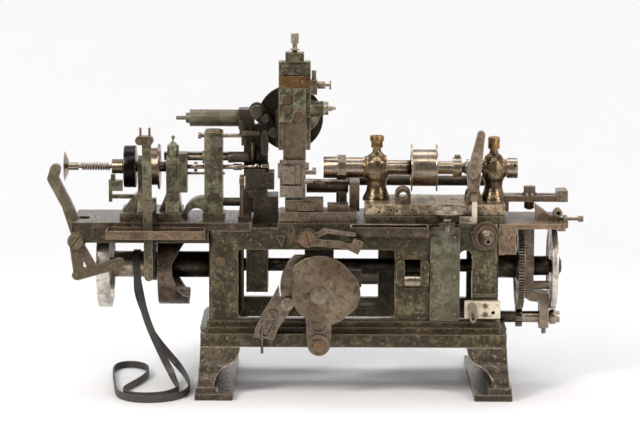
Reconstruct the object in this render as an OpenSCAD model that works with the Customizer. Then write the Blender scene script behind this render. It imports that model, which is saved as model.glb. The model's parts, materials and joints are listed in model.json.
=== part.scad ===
// Early automatic screw making lathe for watch and clock work.
// Millimetres. The spindle runs along X, +Y is the back and +Z is up.
// The origin lies midway between the four foot bolts, on the floor.

/* [Bed] */
// Height of the feet, floor to bed flange
foot_h = 74; // [66:1:90]
// Thickness of the bed flange
flange_t = 20; // [14:1:26]
// Height of the moulding above the flange
cove_h = 15; // [8:1:20]
// Height of the bed walls above the moulding
wall_h = 148; // [144:1:160]
// Length of the bed walls
bed_len = 436; // [430:1:460]
// Depth of the bed walls, front to back
bed_dep = 160; // [156:1:180]
// Thickness of the bed walls
wall_t = 12; // [8:1:16]
// How far the flange stands out past the ends
flange_side = 12; // [8:1:20]
// How far the flange stands out past the front and back
flange_front = 32; // [24:1:40]
// Thickness of the bed deck
deck_t = 12; // [8:1:16]
// Height of the front rail above the windows
rail_h = 40; // [34:1:46]
// Height of the sill above the moulding
sill_h = 3; // [1:1:10]

/* [Feet] */
// Width of a sole plate
sole_w = 57; // [50:1:70]
// Length of a sole plate, front to back
sole_len = 300; // [290:1:340]
// Thickness of a sole plate
sole_t = 10; // [6:1:14]
// Height of the ankle block on the sole
ankle_h = 9; // [6:1:14]
// Thickness of a foot along the bed at the flange
leg_w = 60; // [52:1:66]
// Diameter of the foot bolt holes
foot_hole_d = 9; // [6:0.5:11]
// Half the rise of the arch under a foot
arch_rise = 35; // [20:1:40]

/* [Main camshaft] */
// Camshaft axis below the bed top
cam_drop = 76; // [75:1:84]
// Camshaft diameter
camshaft_d = 20; // [16:1:22]
// Diameter of the steel sleeve and of the dark barrel
sleeve_d = 40; // [34:1:42]
// Diameter of the two end wheels
wheel_d = 132; // [110:1:134]
// Rim width of the left wheel
wheel_w = 20; // [12:1:22]
// Outside diameter of the bell cam
bell_d = 122; // [100:1:126]
// Wall of the bell cam
bell_wall = 6; // [4:0.5:9]
// Module of the camshaft gear and its pinion
gear_m = 1.42; // [1.3:0.01:1.44]
// Face width of the gear
gear_w = 10; // [6:1:11]
// Diameter of the lower shaft
lower_d = 18; // [14:1:20]

/* [Spindle] */
// Spindle axis above the bed top
centre_h = 76; // [72:1:80]
// Spindle diameter at the front bearing
spindle_d = 22.8; // [20:0.2:24]
// Spindle diameter at the rear bearing
spindle_rear_d = 15; // [13:0.5:17]
// Bore through the spindle for the bar
bar_d = 8; // [4:0.5:9]
// Diameter of the collet hood
hood_d = 33; // [30:0.5:36]
// Body diameter of the spindle pulley
pulley_d = 56; // [48:1:60]
// Flange diameter of the spindle pulley
pulley_flange_d = 72; // [64:1:76]
// Width of the spindle pulley
pulley_w = 40; // [34:1:42]
// Radial running clearance of shafts
fit = 0.05; // [0.02:0.01:0.1]

/* [Headstock] */
// Thickness of the headstock plate
head_t = 16; // [12:1:20]
// Front edge of the headstock plate from the bed centre
head_front = 65; // [60:1:66]
// Back edge of the headstock plate from the bed centre
head_back = 45; // [40:1:50]
// Wall of the bearing bushes
bush_wall = 3; // [2:0.5:4]
// Body radius of an oil cup
cup_r = 9; // [7:0.5:10]
// Height of an oil cup
cup_h = 22; // [16:1:26]

/* [Threading attachment] */
// Diameter of the threading spindle
thread_d = 16; // [13:0.5:17]
// Diameter of the black pulley
black_pulley_d = 64; // [56:1:70]
// Diameter of the steel pulley
steel_pulley_d = 57; // [50:1:60]
// Diameter of the push rod
rod_d = 6.6; // [5:0.2:7]
// Diameter of the thin bell disc
disc_d = 46; // [40:1:52]
// Wire diameter of the return spring
wire_d = 2; // [1.6:0.1:2.2]
// Curls of the return spring
curls = 11; // [8:1:13]

/* [Tool column] */
// Width of the tool slide
slide_w = 34; // [30:0.5:36]
// Thickness of the tool slide
slide_t = 21; // [17:0.5:24]
// Sliding clearance of the tool slide
slip = 0.2; // [0.1:0.05:0.3]
// Radius of the overhead cam disc
over_r = 50; // [44:1:51]
// Outside diameter of the overarm tube
tube_d = 26; // [22:1:28]

/* [Front cam] */
// Low radius of the front cam
cam_low = 39; // [36:0.5:41]
// High radius of the front cam
cam_high = 59; // [54:0.5:62]
// Thickness of the front cam
cam_t = 9; // [6:0.5:10]
// Diameter of the cross shaft
cross_d = 14; // [12:0.5:15]
// Radius of the follower roller
roller_r = 9.4; // [8:0.2:10]

/* [Hidden] */
$fn = 48;

// Levels and ends that the pieces share
flange_z = foot_h;
wall_z = foot_h + flange_t + cove_h;
bed_z = wall_z + wall_h;
sill_z = wall_z + sill_h;
window_z = bed_z - rail_h;
end_x = bed_len / 2;
front_y = -bed_dep / 2;
flange_y = front_y - flange_front;
way_h = 11;
way_z = bed_z + way_h;
air = 0.3;

// Camshaft, gears and shafts
cam_z = bed_z - cam_drop;
cam_r = camshaft_d / 2;
sleeve_r = sleeve_d / 2;
gear_teeth = 92;
pinion_teeth = 20;
gear_r = gear_m * gear_teeth / 2;
pinion_r = gear_m * pinion_teeth / 2;
lower_z = cam_z - gear_r - pinion_r;
lower_r = lower_d / 2;
boss_r = 19;
boss_x = end_x + 31;
gear_x = boss_x + 1;
bracket_x = gear_x + gear_w + 2;
bracket_w = 14;
end_wheel_x = bracket_x + bracket_w + 25;
left_wheel_x = -389;

// Spindle and headstock
spindle_z = bed_z + centre_h;
spindle_y = -10;
spindle_r = spindle_d / 2;
rear_r = spindle_rear_d / 2;
head_z = way_z + air;
head_top = head_z + head_t;
head_x0 = 17;
head_x1 = end_x + 10;
ped_a = 35;
ped_b = head_x1 - 15;
ped_half = 15;
ped_r = 18.5;
pulley_x = 87;
collar_x = pulley_x + pulley_w + 24;
lever_x = ped_b - 32;
spool_x = lever_x - 12.5;
lever_z = head_top + 9;
lever_y0 = -38;

// Threading attachment
thread_r = thread_d / 2;
rod_r = rod_d / 2;
stand_z = bed_z + 11;
stand_l = -328;
stand_l_w = 12;
stand_r = -285;
stand_r_w = 20;
hub_x = -368;
rod_ball = 7.8;

// Tool column
slide_x = -90;
slide_front = -46.8;
slide_back = slide_front + slide_t;
house_half = slide_w / 2 + 7;
over_x = -97;
over_z = bed_z + 148;
tube_z = bed_z + 147;
tube_y = 25;

// Front cam and rocker
cross_x = -52;
cross_z = cam_z - 23;
cross_r = cross_d / 2;
rocker_y0 = flange_y - 11;
rocker_y1 = flange_y - air;
cam_y1 = rocker_y0 - roller_r - 0.8;
cam_y0 = cam_y1 - cam_t;
pivot_x = -52;
pivot_z = flange_z + flange_t / 2 - 4;

// Simple solids, given by their ends
module xcyl(x0, x1, r, y = 0, z = 0) translate([x0, y, z]) rotate([0, 90, 0]) cylinder(r = r, h = x1 - x0);
module ycyl(y0, y1, r, x = 0, z = 0) translate([x, y1, z]) rotate([90, 0, 0]) cylinder(r = r, h = y1 - y0);
module zcyl(z0, z1, r, x = 0, y = 0) translate([x, y, z0]) cylinder(r = r, h = z1 - z0);
module block(x, y, z) translate([x[0], y[0], z[0]]) cube([x[1] - x[0], y[1] - y[0], z[1] - z[0]]);
module xcone(x0, x1, r0, r1, y, z) translate([x0, y, z]) rotate([0, 90, 0]) cylinder(r1 = r0, r2 = r1, h = x1 - x0);
module zcone(z0, z1, r0, r1, x, y) translate([x, y, z0]) cylinder(r1 = r0, r2 = r1, h = z1 - z0);
// cone along Y, r0 at the front end y0
module ycone(y0, y1, r0, r1, x, z) translate([x, y1, z]) rotate([90, 0, 0]) cylinder(r1 = r1, r2 = r0, h = y1 - y0);

// An outline drawn in X and Z, Y and Z, or X and Y, given thickness
module front_plate(y0, y1) translate([0, y1, 0]) rotate([90, 0, 0]) linear_extrude(y1 - y0) children();
module side_plate(x0, x1) translate([x0, 0, 0]) rotate([90, 0, 90]) linear_extrude(x1 - x0) children();
module top_plate(z0, z1) translate([0, 0, z0]) linear_extrude(z1 - z0) children();

module round_rect(w, h, r) {
    square([w - 2 * r, h], center = true);
    square([w, h - 2 * r], center = true);
    for (x = [-1, 1], y = [-1, 1]) translate([x * (w / 2 - r), y * (h / 2 - r)]) circle(r);
}

module rect(x, z) translate([x[0], z[0]]) square([x[1] - x[0], z[1] - z[0]]);

// A link from a round end of radius r at p to one of radius s at q
module link(p, r, q, s) {
    a = atan2(q[1] - p[1], q[0] - p[0]);
    b = acos((r - s) / norm(q - p));
    polygon(concat(arc(p, r, a + b, a + 360 - b, 16), arc(q, s, a - b, a + b, 16)));
}

// A bar with two equal round ends
module bar(p, q, r) link(p, r, q, r);

function arc(c, r, a, b, n = 8) = [for (i = [0 : n]) c + r * [cos(a + (b - a) * i / n), sin(a + (b - a) * i / n)]];

// Slotted screws that face the front: x, z, face, head radius, slot angle, and the depth where it isn't the usual
screw_h = 3;
screw_len = 8;
cover_x = [115, end_x - 58.5];
cover_z = [wall_z + 1, bed_z - 4];
cover_t = 6;
cover_y = front_y - cover_t;
function screw_rows(xs, zs, y, r) = [for (x = xs, z = zs) [x, z, y, r, 20 * x + 7 * z]];
cover_screws = screw_rows([cover_x[0] + 5.5, cover_x[1] - 7.5], [cover_z[0] + 11, cover_z[0] + 68, cover_z[1] - 15],
    cover_y, 2.6);
latch_t = 12;
latch_y = front_y - latch_t;
latch_x = [end_x - 51, end_x + 3];
latch_z = [wall_z + 6, wall_z + 32];
latch_screws = screw_rows([end_x - 20], [latch_z[0] + 6.5, latch_z[1] - 6.5], latch_y, 3.6);
pillar_screws = [[-200, bed_z - 58, front_y, 7, 60]];
pointer_screws = screw_rows([end_x - 55, end_x - 46], [way_z - 5.5], front_y + 2, 1.8);
hub_screws = [[end_x - 40, bed_z - 13, front_y, 3.2, 30]];
front_screws = concat(cover_screws, latch_screws, pillar_screws, pointer_screws, hub_screws);

module slot_screw(s) {
    difference() {
        ycyl(s[2] - screw_h, s[2], s[3], s[0], s[1]);
        translate([s[0], s[2] - screw_h, s[1]]) rotate([0, s[4], 0])
            cube([2.2 * s[3], 0.9 * screw_h, 0.25 * s[3]], center = true);
    }
    ycyl(s[2], s[2] + screw_depth(s), s[3] / 2, s[0], s[1]);
}

function screw_depth(s) = len(s) > 5 ? s[5] : screw_len + s[3];

module screw_holes(list) {
    for (s = list) ycyl(s[2] - 1, s[2] + screw_depth(s) + 0.5, s[3] / 2 + fit, s[0], s[1]);
}

// Feet
leg_out = end_x + flange_side;
leg_in = leg_out - leg_w;
sole_x = leg_out + 7 - sole_w / 2;
hole_x = sole_x - 18;
hole_y = sole_len / 2 - 30;
ankle_z = sole_t + ankle_h;
ogee_r = (foot_h - ankle_z) / (2 * sin(70));
sole_edge = 8.4;
flare_r = (sole_len / 2 - sole_edge + flange_y) / (2 * (1 - cos(70)));
ogee_in = leg_in + 2 * ogee_r * (1 - cos(70));

module leg_front() {
    up = leg_in + ogee_r;
    polygon(concat([[leg_out, foot_h]], arc([up, foot_h], ogee_r, 180, 250),
        arc([up - 2 * ogee_r * cos(70), foot_h - 2 * ogee_r * sin(70)], ogee_r, 70, 0),
        [[ogee_in, ankle_z], [ogee_in - 6, ankle_z], [ogee_in - 6, sole_t], [leg_out + 6, sole_t],
        [leg_out + 6, ankle_z], [leg_out + 3, ankle_z]]));
}

// Side view of a foot: flared legs at front and back, and an arch between
module leg_side() {
    top_z = ankle_z + 2 * flare_r * sin(70);
    y1 = -flange_y;
    toe = y1 + 2 * flare_r * (1 - cos(70));
    half = hole_y - 22;
    big = (half * half + arch_rise * arch_rise) / (2 * arch_rise);
    difference() {
        union() {
            rect([-y1, y1], [sole_t, foot_h]);
            for (s = [-1, 1]) scale([s, 1])
                polygon(concat([[0, top_z], [0, sole_t], [toe + 3, sole_t], [toe + 3, ankle_z]],
                    arc([toe - flare_r, ankle_z], flare_r, 0, 70), arc([y1 + flare_r, top_z], flare_r, 250, 180)));
        }
        intersection() {
            translate([0, ankle_z + arch_rise - big]) circle(big, $fn = 160);
            rect([-half, half], [sole_t, foot_h]);
        }
        rect([-half, half], [sole_t, ankle_z]);
    }
}

module foot() {
    difference() {
        union() {
            translate([sole_x, 0, 0]) top_plate(0, sole_t) round_rect(sole_w, sole_len, 4);
            intersection() {
                front_plate(-sole_len / 2, sole_len / 2) leg_front();
                side_plate(leg_in - 10, leg_out + 10) leg_side();
            }
        }
        for (s = [-1, 1]) zcyl(-1, sole_t + 1, foot_hole_d / 2, hole_x, s * hole_y);
    }
}

module left_foot() { color("#4c4a3c") mirror([1, 0, 0]) foot(); }
module right_foot() { color("#4c4a3c") foot(); }

// Bed casting
table_in = -156;
chip_x = [-153, -114];
chip_z = bed_z - 7;
chip_hole = [[-128, chip_x[1] - 1], [front_y + wall_t + 1, -31]];
window_x = [-174, 62];
slot_x = [end_x - 59, end_x - 40];
shaft_z = bed_z - 86;
shaft_y = front_y - 4;
shaft_r = 11.5;
hub_pos = [end_x - 20, bed_z - 17];
crank_r = 8;
dish_x = 139;
dish_y = front_y - 18;
gear_case_x = [-163, -130];
lift_x = -169;
lift_y = -55;

module main_casting() color("#46483a") difference() {
    union() {
        top_plate(flange_z, flange_z + flange_t)
            round_rect(bed_len + 2 * flange_side, bed_dep + 2 * flange_front, 6);
        top_plate(flange_z + flange_t, wall_z - cove_h / 2)
            round_rect(bed_len + flange_side, bed_dep + flange_front, 6);
        top_plate(wall_z - cove_h / 2, wall_z) round_rect(bed_len + flange_side / 2, bed_dep + flange_front / 3, 6);
        top_plate(wall_z, bed_z) round_rect(bed_len, bed_dep, 6);
        xcyl(end_x - wall_t, boss_x, boss_r, 0, cam_z);
        xcyl(end_x - wall_t, end_x + 5, lower_r + 5, 0, lower_z);
        // way that the headstock slides on, and the ledge for the clamp dish
        block([head_x0, end_x + 9], [-head_front - 10, head_back + 10], [bed_z - 1, way_z]);
        front_plate(dish_y, -head_front) rect([dish_x - 12, dish_x + 12], [bed_z - 1, bed_z + 6]);
        zcyl(bed_z - 1, bed_z + 6, 12, dish_x, dish_y);
        // bearing pillar ears of the short front shaft
        for (x = [[64, 76.5], [100.5, 113]])
            front_plate(front_y - 14, front_y + 1) bar([x[0] + 6.2, shaft_z], [x[0] + 6.2, shaft_z + 26], 6.2);
        block([slot_x[1], end_x], [front_y - 3, front_y], [wall_z + 38, wall_z + 42]);
        front_plate(front_y - 5, front_y + 1) polygon([[-117, bed_z - 18], [-103, bed_z - 18], [-108, bed_z - 36]]);
    }
    // open inside, from the floor to the deck
    difference() {
        top_plate(flange_z - 1, bed_z - deck_t) round_rect(bed_len - 2 * wall_t, bed_dep - 2 * wall_t, 3);
        block(gear_case_x, [-35, 35], [cam_z - 37, bed_z]);
    }
    // front windows
    translate([(window_x[0] + window_x[1]) / 2, 0, (sill_z + window_z) / 2])
        front_plate(front_y - 20, front_y + wall_t + 1) round_rect(window_x[1] - window_x[0], window_z - sill_z, 6);
    front_plate(front_y - 1, front_y + wall_t + 1) {
        rect(slot_x, [sill_z, window_z - 9.5]);
        translate([(slot_x[0] + slot_x[1]) / 2, window_z - 9.5]) circle(9.5);
    }
    front_plate(front_y - 20, front_y + wall_t + 1) rect([76.5, 100.5], [shaft_z - shaft_r - 1, shaft_z + 32]);
    // rear windows and the open underside of the rear flange
    front_plate(-front_y - wall_t - 1, -front_y + 20) {
        rect([window_x[0], 40], [sill_z + 6, window_z]);
        rect([118, slot_x[1]], [sill_z + 6, window_z]);
    }
    block([-leg_in + 5, leg_in - 5], [-front_y - wall_t - 1, -flange_y + 1], [flange_z - 1, flange_z + 13]);
    // chip opening through the deck, and the lower deck under the table
    block(chip_x, [front_y - 1, 30], [chip_z, bed_z + 1]);
    block(chip_hole[0], chip_hole[1], [bed_z - deck_t - 1, chip_z + 1]);
    block([-end_x - 1, table_in], [front_y - 1, -front_y + 1], [bed_z - deck_t, bed_z + 1]);
    // shaft bores
    xcyl(-end_x - 1, boss_x + 1, cam_r + fit, 0, cam_z);
    xcyl(end_x - wall_t - 1, end_x + flange_side + 2, lower_r + fit, 0, lower_z);
    xcyl(60, 117, shaft_r / 2 + fit, shaft_y, shaft_z);
    ycyl(front_y - 1, front_y + wall_t + 1, crank_r + fit, hub_pos[0], hub_pos[1]);
    ycyl(front_y + wall_t - 1, front_y + wall_t + 14, crank_r + 6, hub_pos[0], hub_pos[1]);
    zcyl(bed_z - deck_t - 1, way_z, 5 + fit, dish_x, dish_y);
    zcyl(bed_z - 2 * deck_t, bed_z + 1, rod_r + fit, lift_x, lift_y);
    // groove that guides the headstock keel
    block([head_x0 - 1, end_x + 10], [spindle_y - 9, spindle_y + 9], [bed_z, way_z + 1]);
    // pivot stud holes in the flange and the rail
    ycyl(flange_y - 1, flange_y + 20, 6, pivot_x, pivot_z);
    ycyl(front_y - 1, front_y + wall_t + 1, 5, lever_pivot[0], lever_pivot[1]);
    screw_holes(front_screws);
}

// Left table with the hanger bearing below it
table_x = -425;
table_back = 55;
skirt_z = bed_z - 31;
table_t = 8;
hand_x = -417;
hand_z = bed_z - 27;
hanger_x = [-318, -301];

module left_table() color("#3d3a32") difference() {
    union() {
        block([table_x, table_in], [front_y, table_back], [bed_z - table_t, bed_z]);
        block([-end_x, table_in], [front_y, table_back], [bed_z - deck_t, bed_z]);
        block([table_x, -end_x], [front_y, front_y + wall_t], [skirt_z, bed_z]);
        block([table_x, table_x + 9], [-16, table_back], [skirt_z, bed_z]);
        block([-360, -end_x], [table_back - 10, table_back], [skirt_z, bed_z]);
        block([-end_x - 8, -end_x], [front_y, table_back], [skirt_z, bed_z]);
        block(hanger_x, [-24, 24], [cam_z, bed_z]);
        xcyl(hanger_x[0], hanger_x[1], 25, 0, cam_z);
        ycyl(front_y - 4, front_y, 13, hand_x + 2, hand_z);
    }
    block([table_x - 1, table_x + 24], [-43, -17], [skirt_z - 1, bed_z + 1]);
    ycyl(front_y - 5, front_y + wall_t + 1, 6 + fit, hand_x, hand_z);
    xcyl(hanger_x[0] - 1, hanger_x[1] + 1, cam_r + fit, 0, cam_z);
    zcyl(bed_z - 2 * deck_t, bed_z + 1, rod_r + fit, lift_x, lift_y);
}

tray_x = [-370, -222];
tray_y = [-125, front_y];
tray_z = [bed_z - 19, bed_z - 6];
shift_x = -307;
shift_z = bed_z + 25;
shift_y = [-97, -90];
tray_wall = 2.5;

module drip_tray() color("#5d4634") difference() {
    block(tray_x, tray_y, tray_z);
    block([tray_x[0] + tray_wall, tray_x[1] - tray_wall], [tray_y[0] + tray_wall, tray_y[1] - tray_wall],
        [tray_z[0] + tray_wall, tray_z[1] + 1]);
    block([shift_x - 14, shift_x + 14], [shift_y[0] - 2, shift_y[1] + 2], [tray_z[0] - 1, tray_z[1]]);
}

// Stand with the two bearings of the threading spindle
stand_x = [-353, -261];
stand_y = [-62, 36];
stand_screws = screw_rows([stand_x[0] + 11, stand_x[1] - 29], [stand_z - 5], stand_y[0], 5);

module bearing_side(half, top) {
    polygon(concat([[spindle_y - half, stand_z + 26], [spindle_y - half - 16, stand_z - 1],
        [spindle_y + half + 16, stand_z - 1], [spindle_y + half, stand_z + 26]], arc([spindle_y, spindle_z], top, 0, 180, 20)));
}

module attachment_stand() color("#5c6152") difference() {
    union() {
        block(stand_x, stand_y, [bed_z, stand_z]);
        side_plate(stand_l, stand_l + stand_l_w) bearing_side(14, 17);
        side_plate(stand_r, stand_r + stand_r_w) bearing_side(13, 18);
        front_plate(-30, 10) polygon([[stand_x[0] + 1, stand_z - 1], [stand_l - 6, stand_z + 22], [stand_l, stand_z + 26],
            [stand_l, stand_z - 1]]);
        front_plate(-30, 10) polygon([[stand_r - 11, stand_z - 1], [stand_r, stand_z + 26], [stand_r + stand_r_w, stand_z + 26],
            [stand_x[1] - 1, stand_z - 1]]);
        // bracket beside the black pulley
        block([stand_x[0] - 20, stand_l - 5], [-14, -6], [stand_z + 16, stand_z + 22]);
        block([stand_x[0] - 20, stand_x[0] - 15], [-15, -5], [stand_z + 11, stand_z + 45]);
        block([stand_x[0] - 18, stand_x[0] + 1], [-17, -3], [stand_z + 28, stand_z + 44]);
        block([stand_x[0] - 17, stand_x[0] - 10], [-13, -7], [stand_z + 43, spindle_z - 12]);
        // oiler on the right bearing
        zcyl(spindle_z + 12, spindle_z + 32, 9, stand_r + 10, spindle_y);
        zcone(spindle_z + 32, spindle_z + 38, 9, 3, stand_r + 10, spindle_y);
        zcyl(spindle_z + 38, spindle_z + 43, 1.6, stand_r + 10, spindle_y);
        translate([stand_r + 10, spindle_y, spindle_z + 45]) sphere(3);
        // post for the belt shifter
        block([shift_x - 9, shift_x + 9], [stand_y[0], stand_y[0] + 12], [stand_z - 1, shift_z + 9]);
        // plate that carries the guide rods
        block([stand_r + stand_r_w - 2, -253], [spindle_y - 14, spindle_y + 15], [bed_z + 38, spindle_z + 22]);
    }
    xcyl(-360, -252, thread_r + fit, spindle_y, spindle_z);
    ycyl(stand_y[0] - 1, stand_y[0] + 13, 5, shift_x, shift_z);
    for (r = rod_rows) xcyl(-266, -252, r[2] + fit, r[0], spindle_z + r[1]);
    screw_holes(stand_screws);
}

// Column with its arched brace
col_x = [-227, -199];
col_y = [-24, 12];
pipe_x = -168;

// Guide rods: y, height above the spindle, radius, start, end
sleeve_x = -191;
rod_rows = [[spindle_y, 15, 2.4, -263, sleeve_x], [spindle_y, -10, 2, -263, col_x[1] + 3]];

module column() color("#56604f") difference() {
    union() {
        front_plate(col_y[0], col_y[1]) {
            rect(col_x, [bed_z, bed_z + 130]);
            translate([-230, bed_z]) circle(30);
        }
        block([col_x[0] - 3, col_x[1] + 3], [col_y[0] - 3, col_y[1] + 3], [bed_z, bed_z + 7]);
        xcyl(col_x[0] - 3, col_x[0] + 3, 10, spindle_y, spindle_z + 15);
        xcyl(col_x[1] - 1, pipe_x, 6.5, 0, bed_z + 21);
        // beam along the back
        block([stand_r - 5, col_x[1] + 14], [col_y[1] - 2, col_y[1] + 14], [bed_z + 83, bed_z + 95]);
        zcyl(bed_z + 129, bed_z + 133, 13, -213, -6);
    }
    block([-280, col_x[1] + 20], [col_y[0] - 4, col_y[1] + 4], [bed_z - 50, bed_z]);
    ycyl(col_y[0] - 1, col_y[1] + 1, 14, -239, bed_z);
    xcyl(-280, col_x[1] + 1, rod_r + 0.4, spindle_y, spindle_z);
    for (r = rod_rows) xcyl(-280, col_x[1] + 1, r[2] + fit, r[0], spindle_z + r[1]);
    xcyl(-240, col_x[1] + 1, 3 + fit, spindle_y, bed_z + 124);
    ycyl(col_y[0] - 1, col_y[0] + 9, 4.5 + fit, -207, bed_z + 116);
}

module guide_rods() color("#6f6a60") {
    for (r = rod_rows) xcyl(r[3], r[4], r[2], r[0], spindle_z + r[1]);
    xcyl(-232, frame_x[0], 3, spindle_y, bed_z + 124);
    xcyl(-237, -232, 5, spindle_y, bed_z + 124);
    ycyl(col_y[0] - 5, col_y[0], 9, -207, bed_z + 116);
    ycyl(col_y[0], col_y[0] + 8, 4.5, -207, bed_z + 116);
}

// Dark frame that carries the tool column
frame_x = [-171, -131];
frame_y = [-18, 17];
plate_y = 1;
link_z = [over_z + 13, over_z - 18];

module tool_frame() color("#2e2c28") difference() {
    union() {
        // foot on the table, and the black block in the recess of the deck
        block([lift_x - 6, table_in - 1], [lift_y - 7, 52], [bed_z, bed_z + 8]);
        block([pipe_x, chip_x[0] + 1.5], [frame_y[0] + 2, 30], [bed_z + 7, bed_z + 42]);
        block([chip_x[0] + 1, chip_x[1] - 1], [chip_hole[1][1] + 3, 29], [chip_z, bed_z + 33]);
        block([-150.5, -131.5], [-26, 27], [bed_z + 32, bed_z + 43]);
        zcyl(bed_z + 31, bed_z + 40.6, 12.2, -152.4, -14.5);
        // block under the push rod, with its four screws
        block([-165, -133], [frame_y[0] - 3, 15], [bed_z + 40, bed_z + 74]);
        block([-134, -121], [-30, 13], [bed_z + 44, bed_z + 70]);
        for (x = [-161, -138], z = [49, 68]) ycyl(frame_y[0] - 4.5, frame_y[0], 2, x, bed_z + z);
        // back plate, with the strip, link and bar on its left
        block([-167, frame_x[1]], [plate_y, frame_y[1]], [bed_z + 60, bed_z + 140]);
        block([-167.5, -155.5], [-6, 15.5], [bed_z + 62, bed_z + 139]);
        block([frame_x[0], -165], [-14, 14], [bed_z + 109, bed_z + 138]);
        block([frame_x[0] - 3, frame_x[0] + 2], [-16, -6.5], [bed_z + 125, bed_z + 147]);
        block([frame_x[0] + 0.5, -143], [-24, 3], [bed_z + 126, bed_z + 132]);
        for (x = [-166, -157, -148]) ycyl(-25.5, -20, 1.8, x, bed_z + 129);
        xcyl(sleeve_x, -160, 8.5, spindle_y, spindle_z + 15);
        // thin disc, post and round ended plate
        xcyl(-155, -153, 17, -8, bed_z + 100);
        zcyl(spindle_z + 9, bed_z + 104, 3.6, -146.5, -2);
        front_plate(-20, 3) bar([-135.5, bed_z + 101], [-135.5, bed_z + 128], 5.5);
        // link with its bosses
        front_plate(plate_y + 1.5, 15) link([-148, link_z[0]], 12, [-122, link_z[1]], 7);
        ycyl(-26, 4, 9.3, -148, link_z[0]);
        ycyl(-29, -25, 6.5, -148, link_z[0]);
        ycyl(-24, 4, 5.4, -135, over_z + 3);
        ycyl(-27, 4, 7.3, -122, link_z[1]);
        // boss round the tube and arm to the slide housing
        block([-176, -152], [5, 42], [tube_z - 15, tube_z + 15]);
        block([-118.5, slide_x + house_half], [slide_back + 6, frame_y[1] - 4], [over_z - 37, over_z + 14.5]);
        ycyl(0, frame_y[1], 16, over_x, over_z);
    }
    xcyl(-190, -151, tube_d / 2, tube_y, tube_z);
    ycyl(-18, 30, 6 + fit, over_x, over_z);
    xcyl(-180, -100, rod_ball + 0.6, spindle_y, spindle_z);
    xcyl(-180, frame_x[0], 3 + fit, spindle_y, bed_z + 124);
    zcyl(bed_z - 1, bed_z + 9, rod_r + fit, lift_x, lift_y);
}

module overarm_tube() color("#5f6757") {
    xcyl(-251, -152, tube_d / 2, tube_y, tube_z);
    xcyl(-257, -251, 8, tube_y, tube_z);
    xcyl(-272, -257, 3, tube_y, tube_z);
}

// Housing, keeper plates and lugs of the tool slide
house_x = [slide_x - house_half, slide_x + house_half];
house_z = [bed_z + 107, bed_z + 240];
keep_y = slide_front - slip;
thumb_z = bed_z + 205;
micro_z = bed_z + 170;
keeper_screws = [[slide_x - 11, bed_z + 184, keep_y - 6, 6.6, 50, 4], [slide_x - 12.5, bed_z + 169, keep_y - 6, 6.6, 80, 4],
    [slide_x + 6, bed_z + 160, keep_y - 13, 7.5, -35, 4], [slide_x - 15, bed_z + 226, keep_y, 4, 30, 3],
    [slide_x + 6, bed_z + 228, keep_y, 4, -60, 3]];

module slide_housing() color("#5a6354") difference() {
    union() {
        block(house_x, [slide_back + slip, slide_back + 6], house_z);
        for (x = [[house_x[0], slide_x - slide_w / 2 - slip], [slide_x + slide_w / 2 + slip, house_x[1]]])
            block(x, [keep_y, slide_back + 6], house_z);
        block(house_x, [keep_y, slide_back + 6], [house_z[1] - 20, house_z[1]]);
        // top block over the height screw
        block([slide_x - 14, slide_x + 14], [-52, -24], [house_z[1], house_z[1] + 14]);
        // keeper plates
        block([house_x[0], slide_x - 3], [keep_y - 6, keep_y], [bed_z + 150, bed_z + 201]);
        block([house_x[0], house_x[0] + 7], [keep_y - 3, keep_y], [house_z[0], bed_z + 151]);
        block([slide_x - 2, slide_x + 17], [keep_y - 9, keep_y], [bed_z + 158, bed_z + 201]);
        block([slide_x - 4, house_x[1]], [keep_y - 5, keep_y], [bed_z + 157, bed_z + 201]);
        ycyl(keep_y - 13, keep_y, 9.5, slide_x + 6, bed_z + 160);
        // lugs for the thumb screw and the micrometer
        block([house_x[1], house_x[1] + 10], [keep_y - 6, keep_y + 12], [thumb_z - 14, thumb_z + 8]);
        xcyl(house_x[1] - 1, house_x[1] + 20, 11, keep_y + 2, micro_z);
        front_plate(keep_y - 2, keep_y + 14)
            polygon([[house_x[1] - 1, bed_z + 158], [house_x[1] + 15, bed_z + 158], [house_x[1] + 9, bed_z + 145],
                [house_x[1] - 1, bed_z + 136]]);
        zcyl(thumb_z + 8, thumb_z + 22, 3.4, house_x[1] + 5, keep_y + 3);
    }
    zcyl(house_z[1] - 21, house_z[1] + 15, 4 + fit, slide_x, -38);
    xcyl(house_x[1] - 8, house_x[1] + 11, 2.6 + fit, keep_y + 3, thumb_z);
    xcyl(house_x[1] - 8, house_x[1] + 21, 4 + fit, keep_y + 2, micro_z);
    screw_holes(keeper_screws);
}

module slide_cap() color("#8a6a35") {
    block(house_x, [keep_y - 7, keep_y], [bed_z + 201, bed_z + 219]);
    for (x = [-7.5, 12]) ycyl(keep_y - 9.5, keep_y - 7, x < 0 ? 3.6 : 2, slide_x + x, bed_z + 211);
}

module height_screw() color("#6d6659") {
    zcyl(house_z[1] - 20, house_z[1] + 17, 4, slide_x, -38);
    zcyl(house_z[1] + 17, house_z[1] + 19, 7, slide_x, -38);
    zcyl(house_z[1] + 19, house_z[1] + 27, 3.6, slide_x, -38);
    zcyl(house_z[1] + 27, house_z[1] + 42, 6, slide_x, -38, $fn = 12);
}

module thumb_screw() color("#7d766a") {
    x = house_x[1];
    xcyl(x - 6, x + 11, 2.6, keep_y + 3, thumb_z);
    xcyl(x + 10.3, x + 22, 5.6, keep_y + 3, thumb_z);
    xcyl(x + 22, x + 28, 2.2, keep_y + 3, thumb_z);
    xcyl(x + 28, x + 31, 6.5, keep_y + 3, thumb_z);
}

module micrometer_screw() color("#6a645a") {
    x = house_x[1];
    xcyl(x - 6, x + 21, 4, keep_y + 2, micro_z);
    xcyl(x + 20.3, x + 27, 10, keep_y + 2, micro_z);
    xcyl(x + 27, x + 33, 4, keep_y + 2, micro_z);
    xcyl(x + 33, x + 38, 2.3, keep_y + 2, micro_z);
}

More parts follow.
